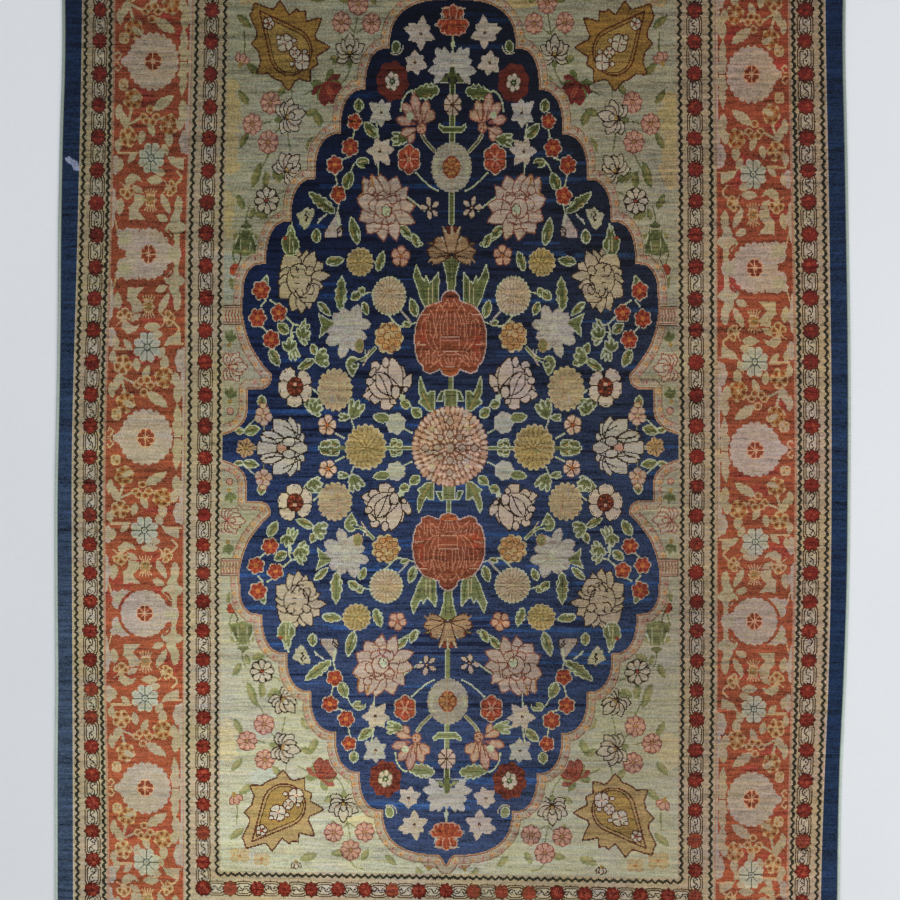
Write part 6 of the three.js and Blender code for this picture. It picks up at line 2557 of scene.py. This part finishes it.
def silk_pile(name, knots_x, knots_y, underside=False):
    m = Nodes(name)
    uv = m.add("ShaderNodeUVMap", uv_map="OFBake").outputs[0]
    sep = m.add("ShaderNodeSeparateXYZ")
    m.join(uv, sep.inputs[0])
    kx = m.math("MULTIPLY", sep.outputs[0], float(knots_x))
    ky = m.math("MULTIPLY", sep.outputs[1], float(knots_y))
    # the attribute's tone holds the dye with the painted sheen of the rug's ends and sides
    dye = m.add("ShaderNodeAttribute", attribute_name="dye", attribute_type="GEOMETRY")
    # each knot takes a slightly different tone
    cell = m.combine(m.math("FLOOR", kx), m.math("FLOOR", ky), 3.0)
    white = m.add("ShaderNodeTexWhiteNoise", noise_dimensions="3D")
    m.join(cell, white.inputs["Vector"])
    knot = m.math("SUBTRACT", white.outputs["Value"], 0.5)
    # streaks along the rows, from hank to hank
    row = m.noise(m.combine(m.math("MULTIPLY", kx, 0.05), m.math("MULTIPLY", ky, 0.55), 1.7), 1.0, 2.0, 0.6)
    row = m.math("SUBTRACT", row, 0.5)
    long_row = m.noise(m.combine(m.math("MULTIPLY", kx, 0.009), m.math("MULTIPLY", ky, 0.24), 5.3), 1.0, 2.0, 0.6)
    long_row = m.math("SUBTRACT", long_row, 0.5)
    abrash = m.noise(m.combine(m.math("MULTIPLY", kx, 0.004), m.math("MULTIPLY", ky, 0.05), 8.2), 1.0, 2.0, 0.5)
    abrash = m.math("SUBTRACT", abrash, 0.5)
    bright = m.add("ShaderNodeRGBToBW")
    m.join(dye.outputs["Color"], bright.inputs[0])
    swing = m.span(bright.outputs[0], 0.01, 0.3, 1.95, 0.85)
    gain = m.math("ADD", m.math("MULTIPLY", knot, 0.5), m.math("MULTIPLY", row, 1.15))
    gain = m.math("ADD", gain, m.math("MULTIPLY", long_row, 0.8))
    gain = m.math("ADD", gain, m.math("MULTIPLY", abrash, 0.5))
    gain = m.math("ADD", m.math("MULTIPLY", gain, swing), 1.0)
    lit = m.mix(1.0, dye.outputs["Color"], m.combine(gain, gain, gain), "MULTIPLY")
    # a slight drift of hue along the streaks
    hue = m.noise(m.combine(m.math("MULTIPLY", kx, 0.016), m.math("MULTIPLY", ky, 0.4), 21.0), 1.0, 2.0, 0.6)
    hue2 = m.noise(m.combine(m.math("MULTIPLY", kx, 0.02), m.math("MULTIPLY", ky, 0.33), 44.0), 1.0, 2.0, 0.6)
    warm = m.combine(
        m.span(hue, 0.3, 0.7, 0.94, 1.06), m.span(hue2, 0.3, 0.7, 0.95, 1.05), m.span(hue, 0.3, 0.7, 1.14, 0.86)
    )
    lit = m.mix(1.0, lit, warm, "MULTIPLY")
    # the pale silk has aged in patches: some yellower, some towards lilac
    age = m.noise(m.combine(m.math("MULTIPLY", kx, 0.016), m.math("MULTIPLY", ky, 0.011), 63.0), 1.0, 3.0, 0.65)
    aged = m.combine(m.span(age, 0.35, 0.65, 1.025, 0.995), m.span(age, 0.35, 0.65, 1.03, 0.98), m.span(age, 0.35, 0.65, 0.91, 1.1))
    lit = m.mix(m.span(bright.outputs[0], 0.1, 0.25, 0.0, 1.0), lit, m.mix(1.0, lit, aged, "MULTIPLY"))
    m.join(lit, m.bsdf.inputs["Base Color"])
    rough = m.span(row, -0.2, 0.2, 0.5, 0.66)
    m.join(rough, m.bsdf.inputs["Roughness"])
    m.bsdf.inputs["Specular IOR Level"].default_value = 0.08
    m.bsdf.inputs["Sheen Weight"].default_value = 0.035
    m.bsdf.inputs["Sheen Roughness"].default_value = 0.4
    # the tufts: a small dome for each knot, rows deeper than columns
    px = m.math("ABSOLUTE", m.math("SINE", m.math("MULTIPLY", kx, math.pi)))
    py = m.math("ABSOLUTE", m.math("SINE", m.math("MULTIPLY", ky, math.pi)))
    height = m.math("ADD", m.math("MULTIPLY", px, 0.5), m.math("MULTIPLY", py, 0.8))
    height = m.math("ADD", height, m.math("MULTIPLY", knot, 0.8))
    fibre = m.noise(m.combine(m.math("MULTIPLY", kx, 6.0), m.math("MULTIPLY", ky, 2.0), 5.0), 1.0, 3.0, 0.6)
    height = m.math("ADD", height, m.math("MULTIPLY", fibre, 0.5))
    bump = m.add("ShaderNodeBump")
    bump.inputs["Strength"].default_value = 0.28
    bump.inputs["Distance"].default_value = 0.0006
    m.join(height, bump.inputs["Height"])
    m.join(bump.outputs[0], m.bsdf.inputs["Normal"])
    return m.mat


def silk_thread(name, across, along, gloss=0.5, ridge=0.25):
    """Twisted silk: the attribute's tone with fine fibres and slight soiling."""
    m = Nodes(name)
    uv = m.add("ShaderNodeUVMap", uv_map="OFBake").outputs[0]
    sep = m.add("ShaderNodeSeparateXYZ")
    m.join(uv, sep.inputs[0])
    # the attribute's tone holds the silk with the painted sheen of its end of the rug
    dye = m.add("ShaderNodeAttribute", attribute_name="dye", attribute_type="GEOMETRY")
    fine = m.noise(m.combine(m.math("MULTIPLY", sep.outputs[0], across), m.math("MULTIPLY", sep.outputs[1], along), 2.0), 1.0, 3.0, 0.6)
    soil = m.noise(m.combine(m.math("MULTIPLY", sep.outputs[0], 26.0), m.math("MULTIPLY", sep.outputs[1], 40.0), 9.0), 1.0, 3.0, 0.55)
    gain = m.math("ADD", m.span(fine, 0.25, 0.75, 0.86, 1.1), m.span(soil, 0.3, 0.75, 0.05, -0.1))
    lit = m.mix(1.0, dye.outputs["Color"], m.combine(gain, gain, m.math("MULTIPLY", gain, 0.98)), "MULTIPLY")
    m.join(lit, m.bsdf.inputs["Base Color"])
    m.join(m.span(fine, 0.2, 0.8, gloss - 0.06, gloss + 0.1), m.bsdf.inputs["Roughness"])
    m.bsdf.inputs["Specular IOR Level"].default_value = 0.4
    m.bsdf.inputs["Sheen Weight"].default_value = 0.25
    m.bsdf.inputs["Sheen Roughness"].default_value = 0.35
    bump = m.add("ShaderNodeBump")
    bump.inputs["Strength"].default_value = ridge
    bump.inputs["Distance"].default_value = 0.0003
    m.join(fine, bump.inputs["Height"])
    m.join(bump.outputs[0], m.bsdf.inputs["Normal"])
    return m.mat


# ---------------------------------------------------------------- build
grid = weave()
rng = np.random.default_rng(77)
yy, xx = np.mgrid[0 : 2 * HALF_Y, 0 : 2 * HALF_X]
ax, ay = np.abs(xx + 0.5 - HALF_X), np.abs(yy + 0.5 - HALF_Y)
ring = np.maximum(ax, ay - END_STEP)  # half width of the nested band that a knot lies in
upper = yy >= HALF_Y

regions = {
    "pile_edge_band": ring > 376.5,
    "pile_outer_guard": (ring > 345.5) & (ring <= 376.5),
    "pile_border_lower": (ring > 266.4) & (ring <= 345.5) & ~upper,
    "pile_border_upper": (ring > 266.4) & (ring <= 345.5) & upper,
    "pile_inner_guard": (ring > 229.5) & (ring <= 266.4),
    "pile_field_lower": (ring <= 229.5) & ~upper,
    "pile_field_upper": (ring <= 229.5) & upper,
}

pile_material = silk_pile("pile_silk", 2 * HALF_X, 2 * HALF_Y)
back_material = silk_pile("back_silk", 2 * HALF_X, 2 * HALF_Y)
cord_material = silk_thread("cord_silk", 900.0, 1400.0, 0.5, 0.3)
warp_material = silk_thread("warp_silk", 1600.0, 120.0, 0.46, 0.2)

pieces = []
for name, mask in regions.items():
    piece = pile_block(name, grid, mask)
    piece.data.materials.append(pile_material)
    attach(piece, "root")
    pieces.append(piece)

slab = slab_piece(grid)
slab.data.materials.append(back_material)
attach(slab, "root")
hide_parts("carpet")

for name, edge, side, node in (("cord_left", left_edge, -1, "selvedge_left"), ("cord_right", right_edge, 1, "selvedge_right")):
    piece = cord_piece(name, edge, side, rng)
    piece.data.materials.append(cord_material)
    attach(piece, "root")
    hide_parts(node)
    pieces.append(piece)

for name, end, node in (("strands_top", 1, "fringe_top"), ("strands_bottom", -1, "fringe_bottom")):
    piece = fringe_piece(name, end, rng)
    piece.data.materials.append(warp_material)
    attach(piece, "root")
    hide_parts(node)
    header = header_piece(name.replace("strands", "header"), end, rng)
    header.data.materials.append(warp_material)
    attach(header, "root")
    pieces += [piece, header]

total = 0
for o in [slab] + pieces:
    n = sum(len(p.vertices) - 2 for p in o.data.polygons)
    total += n
    print("TRIS", o.name, n)
print("TRIS all", total)

# the CAD nodes stay under their looks with the same silk
node_materials = {"carpet": back_material, "selvedge_left": cord_material, "selvedge_right": cord_material, "fringe_top": warp_material, "fringe_bottom": warp_material}
for name, material in node_materials.items():
    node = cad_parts[name]
    node.data.materials.clear()
    node.data.materials.append(material)


# ---------------------------------------------------------------- studio
def floor_material():
    m = Nodes("floor_paint")
    co = m.add("ShaderNodeTexCoord").outputs["Object"]
    n = m.noise(co, 3.0, 4.0, 0.6)
    fine = m.noise(co, 160.0, 2.0, 0.6)
    tone = m.math("ADD", m.span(n, 0.3, 0.7, 0.985, 1.015), m.span(fine, 0.3, 0.7, -0.01, 0.01))
    base = m.mix(1.0, (0.735, 0.752, 0.772, 1.0), m.combine(tone, tone, tone), "MULTIPLY")
    m.join(base, m.bsdf.inputs["Base Color"])
    m.bsdf.inputs["Roughness"].default_value = 0.75
    m.bsdf.inputs["Specular IOR Level"].default_value = 0.2
    return m.mat


s = 6.0
floor_mesh = bpy.data.meshes.new("floor")
floor_mesh.from_pydata([(-s, -s, 0), (s, -s, 0), (s, s, 0), (-s, s, 0)], [], [(0, 1, 2, 3)])
floor = bpy.data.objects.new("floor", floor_mesh)
bpy.context.scene.collection.objects.link(floor)
floor_mesh.materials.append(floor_material())

world = bpy.data.worlds.new("studio")
bpy.context.scene.world = world
world.use_nodes = True
bg = world.node_tree.nodes["Background"]
bg.inputs[0].default_value = (0.93, 0.96, 1.0, 1)
bg.inputs[1].default_value = 0.5


def area_light(name, place, aim, size, power, colour=(1, 1, 1)):
    light = bpy.data.lights.new(name, "AREA")
    light.shape = "RECTANGLE"
    light.size, light.size_y = size
    light.energy = power
    light.color = colour
    o = bpy.data.objects.new(name, light)
    bpy.context.scene.collection.objects.link(o)
    o.location = place
    o.rotation_euler = (Vector(aim) - Vector(place)).to_track_quat("-Z", "Y").to_euler()
    return o


cx, cy = CENTRE_X / 1000, CENTRE_Y / 1000
area_light("window", (cx + 1.9, cy - 0.3, 2.3), (cx, cy, 0), (2.2, 2.6), 49, (1.0, 0.99, 0.97))
area_light("fill", (cx - 1.8, cy + 0.9, 2.4), (cx, cy, 0), (2.4, 2.4), 19, (0.95, 0.98, 1.0))

camera_data = bpy.data.cameras.new("camera")
camera = bpy.data.objects.new("camera", camera_data)
bpy.context.scene.collection.objects.link(camera)
camera_data.lens = 50
camera_data.sensor_width = 36
# the picture is 1.0413 m wide on the rug, seen straight from above the pattern's centre
height = 1.0413 * 50 / 36
camera.location = (cx, cy - 0.0023, height + 0.003)
camera.rotation_euler = (0, 0, 0)
bpy.context.scene.camera = camera
bpy.context.scene.view_settings.view_transform = "Standard"
